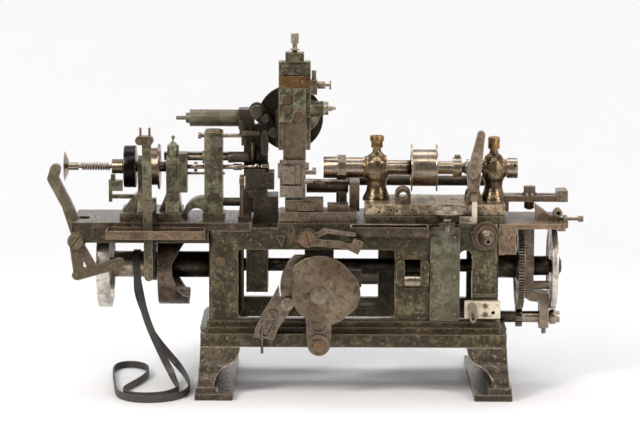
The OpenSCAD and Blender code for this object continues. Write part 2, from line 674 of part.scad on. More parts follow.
module tool_slide() color("#57524a") {
    block([slide_x - slide_w / 2, slide_x + slide_w / 2], [slide_front, slide_back], [bed_z + 36, bed_z + 200]);
}

// Stacked tool blocks at the foot of the slide
module tool_blocks() color("#6a6358") {
    y1 = slide_front;
    block([slide_x - 22, slide_x + 17], [y1 - 9, y1], [bed_z + 36, bed_z + 92]);
    block([slide_x - 25, slide_x - 17], [y1 - 13, y1 - 5], [bed_z + 65, bed_z + 88]);
    difference() {
        block([slide_x - 17.5, slide_x - 8], [y1 - 19, y1 - 8], [bed_z + 58, bed_z + 85]);
        block([slide_x - 19, slide_x - 10], [y1 - 20, y1 - 16], [bed_z + 77, bed_z + 79]);
    }
    block([slide_x - 7.5, slide_x + 1], [y1 - 17, y1 - 8], [bed_z + 57, bed_z + 84]);
    block([slide_x + 2, slide_x + 8], [y1 - 15, y1 - 8], [bed_z + 58, bed_z + 85]);
    block([slide_x - 21, slide_x + 12], [y1 - 14, y1 - 8], [bed_z + 37, bed_z + 54]);
    for (x = [-14, -3, 8]) ycyl(y1 - 16, y1 - 12, 2.2, slide_x + x, bed_z + 46);
    ycyl(y1 - 13.5, y1 - 8, 4, slide_x - 15, bed_z + 89.5);
    xcyl(slide_x + 16, slide_x + 22, 5.5, y1 - 6, bed_z + 83);
    xcyl(slide_x + 16, slide_x + 28, 4, y1 - 6, bed_z + 60);
    // cutter that points at the bar
    block([slide_x + 17, slide_x + 33], [y1 - 5, y1], [bed_z + 70, bed_z + 76]);
    block([slide_x + 27, slide_x + 33], [y1 - 5, spindle_y - 2], [bed_z + 70, bed_z + 76]);
}

// Rest block under the cutter, and the barrel beside it
rest_z = bed_z + 33;

module tool_rest() color("#3a3732") {
    block([chip_x[1] + 2, 4], [-74, -20], [bed_z, bed_z + 16]);
    block([-104, -46], [-66, -24], [bed_z + 16, rest_z]);
    block([-84, -60], [-72, -66], [bed_z + 18, bed_z + 30]);
    block([-40, -8], [-60, -28], [bed_z + 16, bed_z + 25]);
    for (x = [-98, -70, -52]) ycyl(-78, -74, 4.5, x, bed_z + 8);
    ycyl(-80, -72, 5, -72, bed_z + 24);
    block([-30, 4], [-20, 40], [bed_z, bed_z + 10]);
    block([-22, -10], [4, 26], [bed_z + 9, bed_z + 37]);
    difference() {
        block([-6, 9], [-14, 34], [bed_z + 9, bed_z + 54]);
        xcyl(-7, 10, 11, 12, bed_z + 41);
    }
    xcyl(-72, -8, 10.5, 12, bed_z + 44.5);
}

// Bearing of the cross shaft, behind the front wall
module cross_bearing() color("#35332d") difference() {
    union() {
        block([cross_x - 22, cross_x + 22], [front_y + wall_t, front_y + wall_t + 16], [wall_z + 1, bed_z - deck_t]);
        ycyl(front_y - 8, -16, cross_r + 5, cross_x, cross_z);
        xcyl(cross_x + 21, 37, 10.5, front_y + wall_t + 12, shaft_z);
        block([cross_x + 21, 12], [front_y + wall_t, front_y + wall_t + 16], [shaft_z - 13, shaft_z + 13]);
        xcyl(cross_x + 21, 24, 6, front_y + wall_t + 8, sill_z + 18);
        xcyl(24, 32, 4.5, front_y + wall_t + 8, sill_z + 18);
    }
    ycyl(front_y - 9, -15, cross_r + fit, cross_x, cross_z);
}

module side_cover() color("#66705f") difference() {
    translate([(cover_x[0] + cover_x[1]) / 2, 0, (cover_z[0] + cover_z[1]) / 2])
        front_plate(cover_y, front_y) round_rect(cover_x[1] - cover_x[0], cover_z[1] - cover_z[0], 3);
    screw_holes(cover_screws);
}

// Slotted screws, the pivot studs of the rocker and the centre lever
lever_pivot = [-69, bed_z - 17];
centre_y = [-117, -106];

module fixing_screws() color("#8b6a4c") {
    for (s = concat(front_screws, keeper_screws)) slot_screw(s);
    // stud, washer and dome nut of the rocker
    ycyl(cam_y1 + 5, flange_y + 19, 6, pivot_x, pivot_z);
    ycyl(cam_y1 + 1, cam_y1 + 5, 8, pivot_x, pivot_z);
    // shoulder and slotted head of the centre lever
    ycyl(centre_y[0] - air, front_y + wall_t, 5, lever_pivot[0], lever_pivot[1]);
    difference() {
        ycyl(centre_y[1] + air, front_y, 9, lever_pivot[0], lever_pivot[1]);
        ycyl(centre_y[1], front_y + 1, 5, lever_pivot[0], lever_pivot[1]);
    }
    difference() {
        ycyl(centre_y[0] - 9, centre_y[0] - air, 12, lever_pivot[0], lever_pivot[1]);
        translate([lever_pivot[0], centre_y[0] - 9, lever_pivot[1]]) rotate([0, 75, 0]) cube([30, 6, 3], center = true);
    }
    // screws of the attachment stand
    for (s = stand_screws) slot_screw(s);
}

gutter_x = [-6, 112];
gutter_r = 12;

module gutter_outline(r) {
    translate([front_y - gutter_r, bed_z - 10]) circle(r);
    rect([front_y - gutter_r - r, front_y - gutter_r + r], [bed_z - 10, bed_z - 2]);
}

module oil_gutter() color("#4d4f3f") {
    difference() {
        side_plate(gutter_x[0], gutter_x[1]) gutter_outline(gutter_r);
        side_plate(gutter_x[0] + 3, gutter_x[1] - 3) gutter_outline(gutter_r - 3);
        side_plate(gutter_x[0] + 3, gutter_x[1] - 3)
            rect([front_y - 2 * gutter_r + 3, front_y - 3], [bed_z - 10, bed_z + 1]);
    }
    xcyl(gutter_x[1], gutter_x[1] + 2.5, 3.4, front_y - gutter_r, bed_z - 12);
}

// Cream latch block with its swinging hook
hook_x = slot_x[1];
hook_z = latch_z[1] - 3;

module latch_block() color("#cfc8ac") difference() {
    block(latch_x, [latch_y, front_y], latch_z);
    ycyl(latch_y - 1, front_y + 1, 2.6, end_x - 8, latch_z[0] + 9);
    ycyl(latch_y - 1, front_y + 1, 3 + fit, hook_x, hook_z - 6);
    screw_holes(latch_screws);
}

module latch_hook() color("#6b665c") {
    ycyl(latch_y - 6, latch_y + 8, 3, hook_x, hook_z - 6);
    difference() {
        front_plate(latch_y - 5, latch_y - 0.4) {
            bar([hook_x, hook_z - 4], [hook_x + 2, hook_z - 24], 5);
            translate([hook_x, hook_z - 6]) circle(7);
        }
        front_plate(latch_y - 9, latch_y + 1) bar([hook_x + 1, hook_z - 16], [hook_x + 2, hook_z - 23], 2.2);
    }
}

module index_pointer() color("#d8d2b8") difference() {
    front_plate(front_y + 2, -head_front - 10) {
        rect([end_x - 60, end_x - 33], [bed_z, way_z]);
        rect([end_x - 41, end_x - 33], [bed_z, way_z + 22]);
    }
    screw_holes(pointer_screws);
}

module crank_hub() color("#6d5c48") difference() {
    union() {
        ycyl(front_y - 6, front_y, 21.5, hub_pos[0], hub_pos[1]);
        ycyl(front_y - 24, front_y - 6, 15.5, hub_pos[0], hub_pos[1]);
    }
    ycyl(front_y - 25, front_y + 1, crank_r + fit, hub_pos[0], hub_pos[1]);
    screw_holes(hub_screws);
    ycyl(front_y - 7, front_y + 1, 3.6, hub_screws[0][0], hub_screws[0][1]);
}

module crank_spindle() color("#7c6a55") difference() {
    union() {
        ycyl(front_y - 26, front_y + wall_t + 12, crank_r, hub_pos[0], hub_pos[1]);
        ycyl(front_y + wall_t + air, front_y + wall_t + 10, crank_r + 5, hub_pos[0], hub_pos[1]);
        ycyl(front_y - 30, front_y - 24 - air, 13, hub_pos[0], hub_pos[1]);
        ycone(front_y - 44, front_y - 30, 6.5, 13, hub_pos[0], hub_pos[1]);
        ycyl(front_y - 62, front_y - 44, 5.2, hub_pos[0], hub_pos[1]);
    }
    ycyl(front_y - 63, front_y - 50, 2.6, hub_pos[0], hub_pos[1]);
}

// Shelf on the right end, with its angle bracket, stop blocks and adjusting screw
shelf_z = [bed_z - 7.5, bed_z];
shelf_x = end_x + 99;
stop_x = end_x + 58;

module right_shelf() color("#5a5248") {
    difference() {
        union() {
            block([end_x, shelf_x - 6], [front_y, 52], shelf_z);
            block([end_x, shelf_x], [front_y + 6, 46], shelf_z);
            block([end_x, end_x + 26], [front_y, front_y + 8], [bed_z - 47, bed_z]);
            block([end_x, end_x + 8], [front_y, 52], [bed_z - 47, bed_z]);
            zcyl(shelf_z[0] - 4, shelf_z[1], 6, shelf_x - 4, front_y + 12);
        }
        block([end_x - 1, end_x + 9], [head_back - 120, head_back + 20], [shelf_z[1] - 1, shelf_z[1] + 1]);
        front_plate(front_y - 1, front_y + 7) polygon([[end_x + 8, bed_z - 48], [end_x + 27, bed_z - 48],
            [end_x + 27, bed_z - 18], [end_x + 18, bed_z - 18], [end_x + 14, bed_z - 30]]);
    }
    // stop blocks
    front_plate(-46, -20) polygon([[stop_x, bed_z], [stop_x + 27, bed_z], [stop_x + 27, bed_z + 4],
        [stop_x + 14, bed_z + 14], [stop_x, bed_z + 24]]);
    difference() {
        union() {
            block([stop_x + 28, stop_x + 36], [-50, -10], [bed_z, bed_z + 12]);
            ycyl(-54, -32, 6.2, stop_x + 33, bed_z + 13);
        }
        ycyl(-55, -42, 3, stop_x + 33, bed_z + 13);
    }
    difference() {
        block([shelf_x, shelf_x + 6], [-64, -34], [bed_z - 8, bed_z + 8]);
        xcyl(shelf_x - 1, shelf_x + 7, 2.5, -49, bed_z + 4);
    }
    xcyl(stop_x + 35, shelf_x + 22, 2.5, -49, bed_z + 4);
    xcyl(shelf_x + 22, shelf_x + 30, 4.5, -49, bed_z + 4);
}

// Pale bracket below the shelf, carrying the outer ends of both shafts
module right_bracket() color("#a39d8e") difference() {
    union() {
        block([bracket_x, bracket_x + bracket_w], [-18, 18], [cam_z - 12, shelf_z[0]]);
        xcyl(bracket_x, bracket_x + bracket_w, 20, 0, cam_z);
        front_plate(-18, 18) polygon([[bracket_x, cam_z], [bracket_x, cam_z - 46], [bracket_x + 8, cam_z - 52],
            [bracket_x + 24, cam_z - 54], [bracket_x + 24, lower_z - 14], [bracket_x + 38, lower_z - 14],
            [bracket_x + 38, cam_z - 42], [bracket_x + bracket_w, cam_z - 36], [bracket_x + bracket_w, cam_z]]);
        xcyl(bracket_x + 24, bracket_x + 38, 18, 0, lower_z);
        zcyl(lower_z - 26, lower_z - 12, 3.6, bracket_x + 32, 0);
        // stub shaft
        xcyl(bracket_x + bracket_w - 1, bracket_x + 38, 6.5, -12, cam_z - 28);
    }
    xcyl(bracket_x - 1, bracket_x + bracket_w + 1, cam_r + fit, 0, cam_z);
    xcyl(bracket_x + 20, bracket_x + 41, lower_r + fit, 0, lower_z);
}

// Bar behind the headstock
module support_bar() color("#2f2d29") {
    for (x = [-26, 206]) difference() {
        block([x, x + 14], [head_back + 11, -front_y], [bed_z, bed_z + 58]);
        xcyl(x - 1, x + 15, 8, 67, bed_z + 46);
    }
    xcyl(-26, 220, 8, 67, bed_z + 46);
}

// Flat belt: where it runs, and which way its width points
belt_w = 11;
belt_t = 2.4;
belt_r = sleeve_r + belt_t / 2 + 0.3;
belt_x = -331;
over_pulley = [for (a = [90 : -18 : 0]) [[belt_x, -belt_r * cos(a), cam_z + belt_r * sin(a)], [1, 0, 0]]];
back_pulley = [for (a = [0 : 18 : 72]) [[belt_x, belt_r * cos(a), cam_z + belt_r * sin(a)], [1, 0, 0]]];
belt_front = [
    [[-329, -23, 160], [1, 0, 0]], [[-325, -26, 140], [1, 0, 0]], [[-320, -30, 118], [1, 0.1, 0]],
    [[-313, -33, 96], [1, 0.2, 0.1]], [[-305, -34, 76], [1, 0.3, 0.2]], [[-296, -35, 56], [0.9, 0.3, 0.4]],
    [[-287, -38, 38], [0.7, 0.3, 0.6]], [[-278, -45, 22], [0.5, 0.2, 0.8]], [[-271, -58, 11], [0.2, 0.1, 1]],
    [[-266, -74, 7], [0, 0, 1]], [[-264, -92, 6], [0, 0, 1]], [[-268, -112, 6], [0, 0, 1]],
    [[-277, -130, 6], [0, 0, 1]], [[-291, -142, 6], [0, 0, 1]], [[-309, -147, 6], [0, 0, 1]],
    [[-327, -143, 6], [0, 0, 1]], [[-340, -130, 6], [0, 0, 1]], [[-345, -111, 6], [0, 0, 1]],
    [[-342, -91, 6], [0, 0, 1]], [[-336, -70, 6], [0, 0, 1]], [[-329, -48, 6], [0, 0, 1]],
    [[-323, -24, 6], [0, 0, 1]], [[-318, 2, 6], [0, 0, 1]], [[-317, 28, 6], [0, 0, 1]],
    [[-320, 54, 6], [0, 0, 1]], [[-330, 76, 6], [0, 0, 1]], [[-347, 86, 6], [0, 0, 1]],
    [[-363, 78, 6], [0, 0, 1]], [[-370, 58, 6], [0, 0, 1]], [[-371, 32, 6], [0, 0, 1]],
    [[-369, 4, 6], [0, 0, 1]], [[-366, -24, 6], [0, 0, 1]], [[-363, -52, 6], [0, 0, 1]],
    [[-360, -80, 6], [0, 0, 1]], [[-357, -106, 6], [0, 0, 1]], [[-352, -130, 6], [0, 0, 1]],
    [[-341, -151, 6], [0, 0, 1]], [[-325, -164, 6], [0, 0, 1]], [[-306, -168, 6], [0, 0, 1]],
    [[-286, -164, 6], [0, 0, 1]], [[-268, -152, 6], [0, 0, 1]], [[-256, -134, 6], [0, 0, 1]],
    [[-250, -112, 6], [0, 0, 1]], [[-248, -88, 6], [0, 0, 1]], [[-249, -62, 7], [0, 0, 1]],
    [[-253, -36, 9], [0, 0.1, 1]], [[-260, -12, 14], [0, 0.3, 1]], [[-270, 8, 22], [0.1, 0.5, 0.9]],
    [[-283, 22, 34], [0.2, 0.7, 0.7]], [[-297, 31, 50], [0.2, 0.8, 0.5]], [[-310, 35, 69], [0.2, 0.9, 0.3]],
    [[-321, 35, 90], [0.2, 1, 0.2]], [[-329, 32, 112], [0.4, 1, 0.1]], [[-333, 28, 134], [0.8, 0.6, 0]],
    [[-333, 24, 156], [1, 0.2, 0]]];
belt_route = concat([over_pulley[0]], [for (i = [1 : 5]) over_pulley[i]], belt_front, back_pulley);

function unit(v) = v / norm(v);
function belt_ring(i) =
    let (n = len(belt_route), p = belt_route[i][0], a = belt_route[max(i - 1, 0)][0],
        b = belt_route[min(i + 1, n - 1)][0], t = unit(b - a), w0 = belt_route[i][1],
        w = unit(w0 - (w0 * t) * t), u = cross(t, w), h = belt_w / 2, k = belt_t / 2)
    [for (c = [[-1, -0.5], [-0.94, -1], [0.94, -1], [1, -0.5], [1, 0.5], [0.94, 1], [-0.94, 1], [-1, 0.5]])
        p + c[0] * h * w + c[1] * k * u];

// A closed tube through rings of points
module tube(rings) {
    n = len(rings[0]);
    m = len(rings);
    sides = [for (i = [0 : m - 2], j = [0 : n - 1])
        each [[i * n + j, i * n + (j + 1) % n, (i + 1) * n + (j + 1) % n],
            [i * n + j, (i + 1) * n + (j + 1) % n, (i + 1) * n + j]]];
    caps = concat([for (j = [1 : n - 2]) [0, j + 1, j]],
        [for (j = [1 : n - 2]) [(m - 1) * n, (m - 1) * n + j, (m - 1) * n + j + 1]]);
    polyhedron(points = [for (r = rings) each r], faces = concat([for (f = sides) [f[0], f[2], f[1]]],
        [for (f = caps) [f[0], f[2], f[1]]]));
}

module drive_belt() color("#3a332e") tube([for (i = [0 : len(belt_route) - 1]) belt_ring(i)]);

// Headstock: plate, keel, two turned pedestals and four ears
module pedestal(x, r, top) translate([x, spindle_y, 0]) {
    rotate_extrude() polygon([[0, head_top - 1], [r + 3, head_top - 1], [r + 2, head_top + 4], [r - 2, head_top + 12],
        [r - 4, head_top + 20], [r - 3, spindle_z - 20], [r, spindle_z - 14], [r, spindle_z + 10],
        [r - 5, spindle_z + 19], [7, top - 3], [7, top], [0, top]]);
}

module ear(x, z, r, y0, y1) {
    front_plate(y0, y1) bar([x, head_top - 3], [x, z], r);
}

module headstock() color("#57503f") difference() {
    union() {
        block([head_x0, head_x1], [-head_front, head_back], [head_z, head_top]);
        block([head_x0, head_x1], [spindle_y - 9 + slip, spindle_y + 9 - slip], [bed_z + 1, head_z]);
        pedestal(ped_a, ped_r, spindle_z + 27);
        pedestal(ped_b, ped_r - 1, spindle_z + 26);
        xcyl(ped_a - ped_half, ped_a + ped_half, spindle_r + bush_wall + 4, spindle_y, spindle_z);
        xcyl(ped_b - ped_half, ped_b + ped_half, rear_r + bush_wall + 5, spindle_y, spindle_z);
        ear(74, head_top + 13, 12, -head_front, -head_front + 8);
        ear(74, head_top + 13, 12, -head_front + 20, -head_front + 28);
        ear(lever_x, lever_z, 12, -head_front, -head_front + 11);
        ear(lever_x, lever_z, 12, -24, -14);
    }
    ycyl(-head_front - 1, -head_front + 29, 5.6, 74, head_top + 13);
    ycyl(-head_front - 1, -10, 5, lever_x, lever_z);
    xcyl(ped_a - 30, ped_a + 30, spindle_r + bush_wall, spindle_y, spindle_z);
    xcyl(ped_b - 30, ped_b + 30, rear_r + bush_wall, spindle_y, spindle_z);
    xcyl(ped_a - 30, ped_a - ped_half, spindle_r + bush_wall + 3, spindle_y, spindle_z);
    xcyl(ped_b + ped_half, ped_b + 30, rear_r + bush_wall + 3, spindle_y, spindle_z);
    for (h = [[38, 4], [56, 7], [65, 6], [88, 8]]) ycyl(-head_front - 1, -head_front + 7, 1.8, h[0], head_z + h[1]);
    // flat end for the feed arm
    block([head_x1, head_x1 + 20], [-60, 60], [head_z - 1, arm_z + 10]);
}

module oil_cup(x, z, cap, lid) {
    difference() {
        union() {
            zcyl(z, z + 4, cup_r - 3, x, spindle_y);
            zcyl(z + 4, z + cup_h - 1, cup_r, x, spindle_y);
            zcyl(z + cup_h - lid, z + cup_h - 1, cap, x, spindle_y);
            zcone(z + cup_h - 1, z + cup_h, cap, cap - 1, x, spindle_y);
        }
        zcyl(z + cup_h - 1, z + cup_h + 1, cap - 2.5, x, spindle_y);
    }
}

module oil_cups() color("#8a6428") {
    oil_cup(ped_a, spindle_z + 27, cup_r + 1.8, 8);
    oil_cup(ped_b, spindle_z + 26, cup_r - 0.4, 2);
}

module bush(x0, x1, flange, bore) {
    difference() {
        union() {
            xcyl(x0, x1, bore + bush_wall, spindle_y, spindle_z);
            xcyl(flange[0], flange[1], bore + bush_wall + 3, spindle_y, spindle_z);
        }
        xcyl(x0 - 5, x1 + 5, bore + fit, spindle_y, spindle_z);
    }
}

module bearing_bushes() color("#9a6a2c") {
    bush(ped_a - ped_half - 1, ped_a + ped_half, [ped_a - ped_half - 4, ped_a - ped_half], spindle_r);
    bush(ped_b - ped_half, ped_b + ped_half + 1, [ped_b + ped_half, ped_b + ped_half + 4], rear_r);
}

// Slotted arm bolted to the end of the headstock
arm_z = head_top - 2;

module feed_arm() color("#5d574b") {
    difference() {
        union() {
            block([head_x1, head_x1 + 8], [-24, 24], [head_z, arm_z]);
            block([head_x1, head_x1 + 82], [-18, 18], [arm_z, arm_z + 9]);
        }
        front_plate(-30, 30) rect([head_x1 + 9, head_x1 + 81], [head_z, arm_z]);
        top_plate(arm_z - 1, arm_z + 10) bar([head_x1 + 22, 0], [head_x1 + 74, 0], 4.6);
    }
    block([head_x1 + 82, head_x1 + 98], [-20, 20], [arm_z, arm_z + 17]);
    zcyl(arm_z + 9, arm_z + 12, 11, head_x1 + 41, 0);
    zcyl(arm_z + 12, arm_z + 22, 9, head_x1 + 41, 0, $fn = 6);
    zcyl(arm_z - 14, arm_z + 9, 4.4, head_x1 + 41, 0);
    difference() {
        zcyl(arm_z - 12, arm_z, 8, head_x1 + 41, 0);
        zcyl(arm_z - 13, arm_z + 1, 4.4, head_x1 + 41, 0);
    }
}

module clamp_knob() color("#62584a") {
    z = bed_z + 6 + air;
    zcyl(z - 14, z, 5, dish_x, dish_y);
    zcyl(z, z + 5, 9, dish_x, dish_y);
    zcone(z + 5, z + 14, 10, 24, dish_x, dish_y);
    zcyl(z + 14, z + 19, 28.5, dish_x, dish_y);
    zcone(z + 19, z + 22, 10, 7, dish_x, dish_y);
}

// Hollow spindle with the collet hood
module spindle() color("#77705f") difference() {
    union() {
        xcyl(-46, -25, hood_d / 2, spindle_y, spindle_z);
        xcyl(-25, -12, hood_d / 2 + 2.6, spindle_y, spindle_z, $fn = 12);
        xcyl(-12, ped_a - ped_half - 5, hood_d / 2 - 1, spindle_y, spindle_z);
        xcyl(-12, collar_x - 24, spindle_r, spindle_y, spindle_z);
        xcyl(collar_x - 24, collar_x, 10, spindle_y, spindle_z);
        xcyl(collar_x, collar_x + 13, 16, spindle_y, spindle_z);
        block([collar_x + 2, collar_x + 11], [spindle_y - 5, spindle_y + 5], [spindle_z + 14, spindle_z + 20]);
        xcyl(collar_x, ped_b + ped_half + 7, rear_r, spindle_y, spindle_z);
        xcyl(ped_b + ped_half + 5, ped_b + ped_half + 21, 15.5, spindle_y, spindle_z);
    }
    xcyl(-47, ped_b + ped_half + 22, bar_d / 2, spindle_y, spindle_z);
    xcone(-46.01, -38, 9, bar_d / 2, spindle_y, spindle_z);
    ycyl(-40, -20, 2.2, ped_b + ped_half + 16, spindle_z + 6);
}

module spindle_pulley() color("#6e675b") difference() {
    union() {
        xcyl(pulley_x + 2, pulley_x + pulley_w - 2, pulley_d / 2, spindle_y, spindle_z);
        for (x = [pulley_x, pulley_x + pulley_w - 2]) xcyl(x, x + 2, pulley_flange_d / 2, spindle_y, spindle_z);
    }
    for (x = [pulley_x - 1, pulley_x + pulley_w / 2 + 4])
        xcyl(x, x + pulley_w / 2 - 3, pulley_d / 2 - 5, spindle_y, spindle_z);
    xcyl(pulley_x - 1, pulley_x + pulley_w + 1, spindle_r, spindle_y, spindle_z);
}

module closing_sleeve() color("#837b6c") difference() {
    union() {
        xcyl(spool_x, spool_x + 22, rear_r + 2, spindle_y, spindle_z);
        xcyl(spool_x + 3, spool_x + 6.5, rear_r + 6, spindle_y, spindle_z);
        xcyl(spool_x + 18.5, spool_x + 22, rear_r + 6, spindle_y, spindle_z);
    }
    xcyl(spool_x - 1, spool_x + 23, rear_r + fit, spindle_y, spindle_z);
}

module collet_lever() color("#6c6658") {
    y0 = lever_y0;
    y1 = lever_y0 + 8;
    front_plate(y0, y1) {
        link([lever_x, lever_z], 8.4, [lever_x + 1, spindle_z - 4], 10.5);
        link([lever_x + 1, spindle_z - 4], 10.5, [lever_x + 11, spindle_z + 54], 6);
    }
    ycyl(-head_front + 12, -25, 8.4, lever_x, lever_z);
    ycyl(-head_front, -14, 5 - fit, lever_x, lever_z);
    ycyl(y1 - 1, spindle_y - rear_r - 3, 4.5, spool_x + 12.5, spindle_z);
    ycyl(y0 - 4, y0, 6, spool_x + 12.5, spindle_z - 6);
}

// Camshaft with its sleeve and barrel
module camshaft() color("#5b554c") {
    xcyl(left_wheel_x, end_wheel_x + 18, cam_r, 0, cam_z);
    xcyl(-366, hanger_x[0] - 0.5, sleeve_r, 0, cam_z);
    xcyl(hanger_x[1] + 0.5, bell_x[0], sleeve_r, 0, cam_z);
    xcyl(bell_x[0] + 6, -end_x - 0.5, sleeve_r, 0, cam_z);
    xcyl(cross_x - 8, cross_x + 8, cam_r + 2.4, 0, cam_z);
    xcyl(bracket_x + bracket_w + 0.5, end_wheel_x - 1, 15, 0, cam_z);
    xcyl(end_wheel_x + 9, end_wheel_x + 16, 13.5, 0, cam_z, $fn = 6);
}

// Bell shaped drum cam with a cut edge
bell_x = [-297, -251];

module bell_cam() color("#7b6f62") difference() {
    xcyl(bell_x[0], bell_x[1], bell_d / 2, 0, cam_z);
    xcyl(bell_x[0] + 6, bell_x[1] + 1, bell_d / 2 - bell_wall, 0, cam_z);
    xcyl(bell_x[0] - 1, bell_x[1] + 1, cam_r, 0, cam_z);
    front_plate(-bell_d, bell_d) polygon([[bell_x[1] + 1, cam_z + 70], [bell_x[1] - 3, cam_z + 70],
        [bell_x[1] - 4, cam_z + 42], [bell_x[1] - 14, cam_z + 27], [bell_x[1] - 24, cam_z + 8],
        [bell_x[1] - 23, cam_z - 10], [bell_x[1] - 17, cam_z - 30], [bell_x[1] - 8, cam_z - 42],
        [bell_x[1] + 1, cam_z - 44]]);
}

module wheel(x, w, rim) difference() {
    xcyl(x, x + w, wheel_d / 2, 0, cam_z);
    xcyl(x - 1, x + w / 2 - rim, wheel_d / 2 - 7, 0, cam_z);
    xcyl(x + w / 2 + rim, x + w + 1, wheel_d / 2 - 7, 0, cam_z);
    xcyl(x - 1, x + w + 1, cam_r, 0, cam_z);
    for (a = [0 : 60 : 300]) translate([0, 0, cam_z]) rotate([a, 0, 0]) xcyl(x - 1, x + w + 1, 13, 0, wheel_d * 0.27);
}

module left_wheel() color("#9a948a") wheel(left_wheel_x, wheel_w, 3);
module right_wheel() color("#8f887c") wheel(end_wheel_x, 9, 2.5);

// Spur gear outline: root, flank and tip points of each tooth
function gear_points(n, m) = let (p = 360 / n, root = m * (n / 2 - 1.2), tip = m * (n / 2 + 0.93))
    [for (i = [0 : n - 1], c = [[root, -0.36], [tip, -0.12], [tip, 0.12], [root, 0.36]])
        c[0] * [cos((i + c[1]) * p), sin((i + c[1]) * p)]];

module cam_gear() color("#3b3833") difference() {
    translate([0, 0, cam_z]) side_plate(gear_x, gear_x + gear_w) polygon(gear_points(gear_teeth, gear_m));
    xcyl(gear_x - 1, gear_x + gear_w + 1, cam_r, 0, cam_z);
    for (x = [gear_x - 1, gear_x + gear_w - 2]) difference() {
        xcyl(x, x + 3, gear_r - 7, 0, cam_z);
        xcyl(x, x + 3, 24, 0, cam_z);
    }
    for (a = [30 : 60 : 330]) translate([0, 0, cam_z]) rotate([a, 0, 0])
        xcyl(gear_x - 1, gear_x + gear_w + 1, 11, 0, gear_r * 0.62);
}

module pinion_shaft() color("#6b655a") {
    xcyl(end_x - 30, gear_x, lower_r, 0, lower_z);
    translate([0, 0, lower_z]) side_plate(gear_x, gear_x + gear_w) rotate(180 / pinion_teeth)
        polygon(gear_points(pinion_teeth, gear_m));
    xcyl(gear_x + gear_w, bracket_x + 56, lower_r, 0, lower_z);
    xcyl(bracket_x + 41, bracket_x + 50, lower_r + 2.5, 0, lower_z);
}

module cross_shaft() color("#6f695e") {
    ycyl(cam_y0 - 14, 12, cross_r, cross_x, cross_z);
    ycyl(-9, 9, 23 - cam_r - 2.4 - 0.6, cross_x, cross_z);
    ycyl(cam_y0 - 3, cam_y0, 12.5, cross_x, cross_z);
    ycyl(cam_y0 - 10, cam_y0 - 3, 10.5, cross_x, cross_z, $fn = 6);
}

// Cam chart: angle from +X and share of the lift
chart = [[-90, 0], [-80, 0.3], [-62, 0.45], [-40, 0.6], [-15, 1.0], [5, 1.14], [25, 1.08], [40, 0.95], [65, 1.0],
    [100, 1.02], [131, 0.95], [140, 0.5], [148, 0.2], [160, 0.08], [200, 0.04], [270, 0]];
function chart_at(a, i = 0) = a <= chart[i + 1][0]
    ? let (t = (a - chart[i][0]) / (chart[i + 1][0] - chart[i][0]), s = t * t * (3 - 2 * t))
        chart[i][1] + s * (chart[i + 1][1] - chart[i][1])
    : chart_at(a, i + 1);

module front_cam() color("#756b58") difference() {
    translate([cross_x, 0, cross_z]) front_plate(cam_y0, cam_y1)
        polygon([for (a = [-90 : 5 : 265]) (cam_low + chart_at(a) * (cam_high - cam_low)) * [cos(a), sin(a)]]);
    ycyl(cam_y0 - 1, cam_y1 + 1, cross_r, cross_x, cross_z);
}

// Rocker: lower boss, ring round the cross shaft and a curved arm
roller_at = [cross_x - 47, cross_z - 15];
bolt_at = [-121, 126];

module rocker_arm() color("#4a4234") {
    difference() {
        union() {
            front_plate(rocker_y0, rocker_y1) {
                translate([cross_x, cross_z]) circle(41);
                link([cross_x, cross_z - 8], 21, [pivot_x, pivot_z], 17.2);
                difference() {
                    intersection() {
                        translate([-48, 168]) circle(62);
                        rect([-112, -60], [wall_z + 30, 215]);
                    }
                    translate([-46, 165]) circle(36);
                }
                polygon([[-110, 150], [-92, 158], [-97, 128], [-113, 104], [-119, 87], [-150, 91], [-146, 106],
                    [-135, 130], [-122, 150], [-112, 170]]);
            }
            ycyl(cam_y1 + 5.3, rocker_y0 + 1, 15.8, pivot_x, pivot_z);
        }
        ycyl(-200, flange_y, cross_r + 13, cross_x, cross_z);
        ycyl(-200, flange_y, 6 + fit, pivot_x, pivot_z);
        front_plate(rocker_y0 - 1, rocker_y0 + 5) link([-133.5, 99], 7, bolt_at, 8.5);
        front_plate(rocker_y0 - 1, rocker_y0 + 2.5) link([cross_x, cross_z - 24], 14.5, [pivot_x, pivot_z + 30], 11.5);
        ycyl(rocker_y0 - 1, rocker_y1 + 1, 4 + fit, roller_at[0], roller_at[1]);
    }
    // block bolt and adjusting screw
    front_plate(rocker_y0 + 1, rocker_y0 + 6) link([-130.5, 107], 5.5, bolt_at, 7.6);
    ycyl(rocker_y0 - 5, rocker_y0 + 2, 7, bolt_at[0], bolt_at[1]);
    translate([-119.5, rocker_y0, 146]) rotate([0, 40, 0]) cube([8, 6, 9], center = true);
    zcyl(66, 106, 2, -137, rocker_y0 + 3.5);
}

module rocker_roller() color("#6b6154") difference() {
    union() {
        ycyl(rocker_y0 - roller_r, rocker_y0 - 0.5, roller_r, roller_at[0], roller_at[1]);
        ycyl(rocker_y0 - 0.5, rocker_y1 - 1, 4, roller_at[0], roller_at[1]);
    }
    translate([roller_at[0], rocker_y0 - roller_r, roller_at[1]]) rotate([0, -35, 0]) cube([30, 3, 2.4], center = true);
}

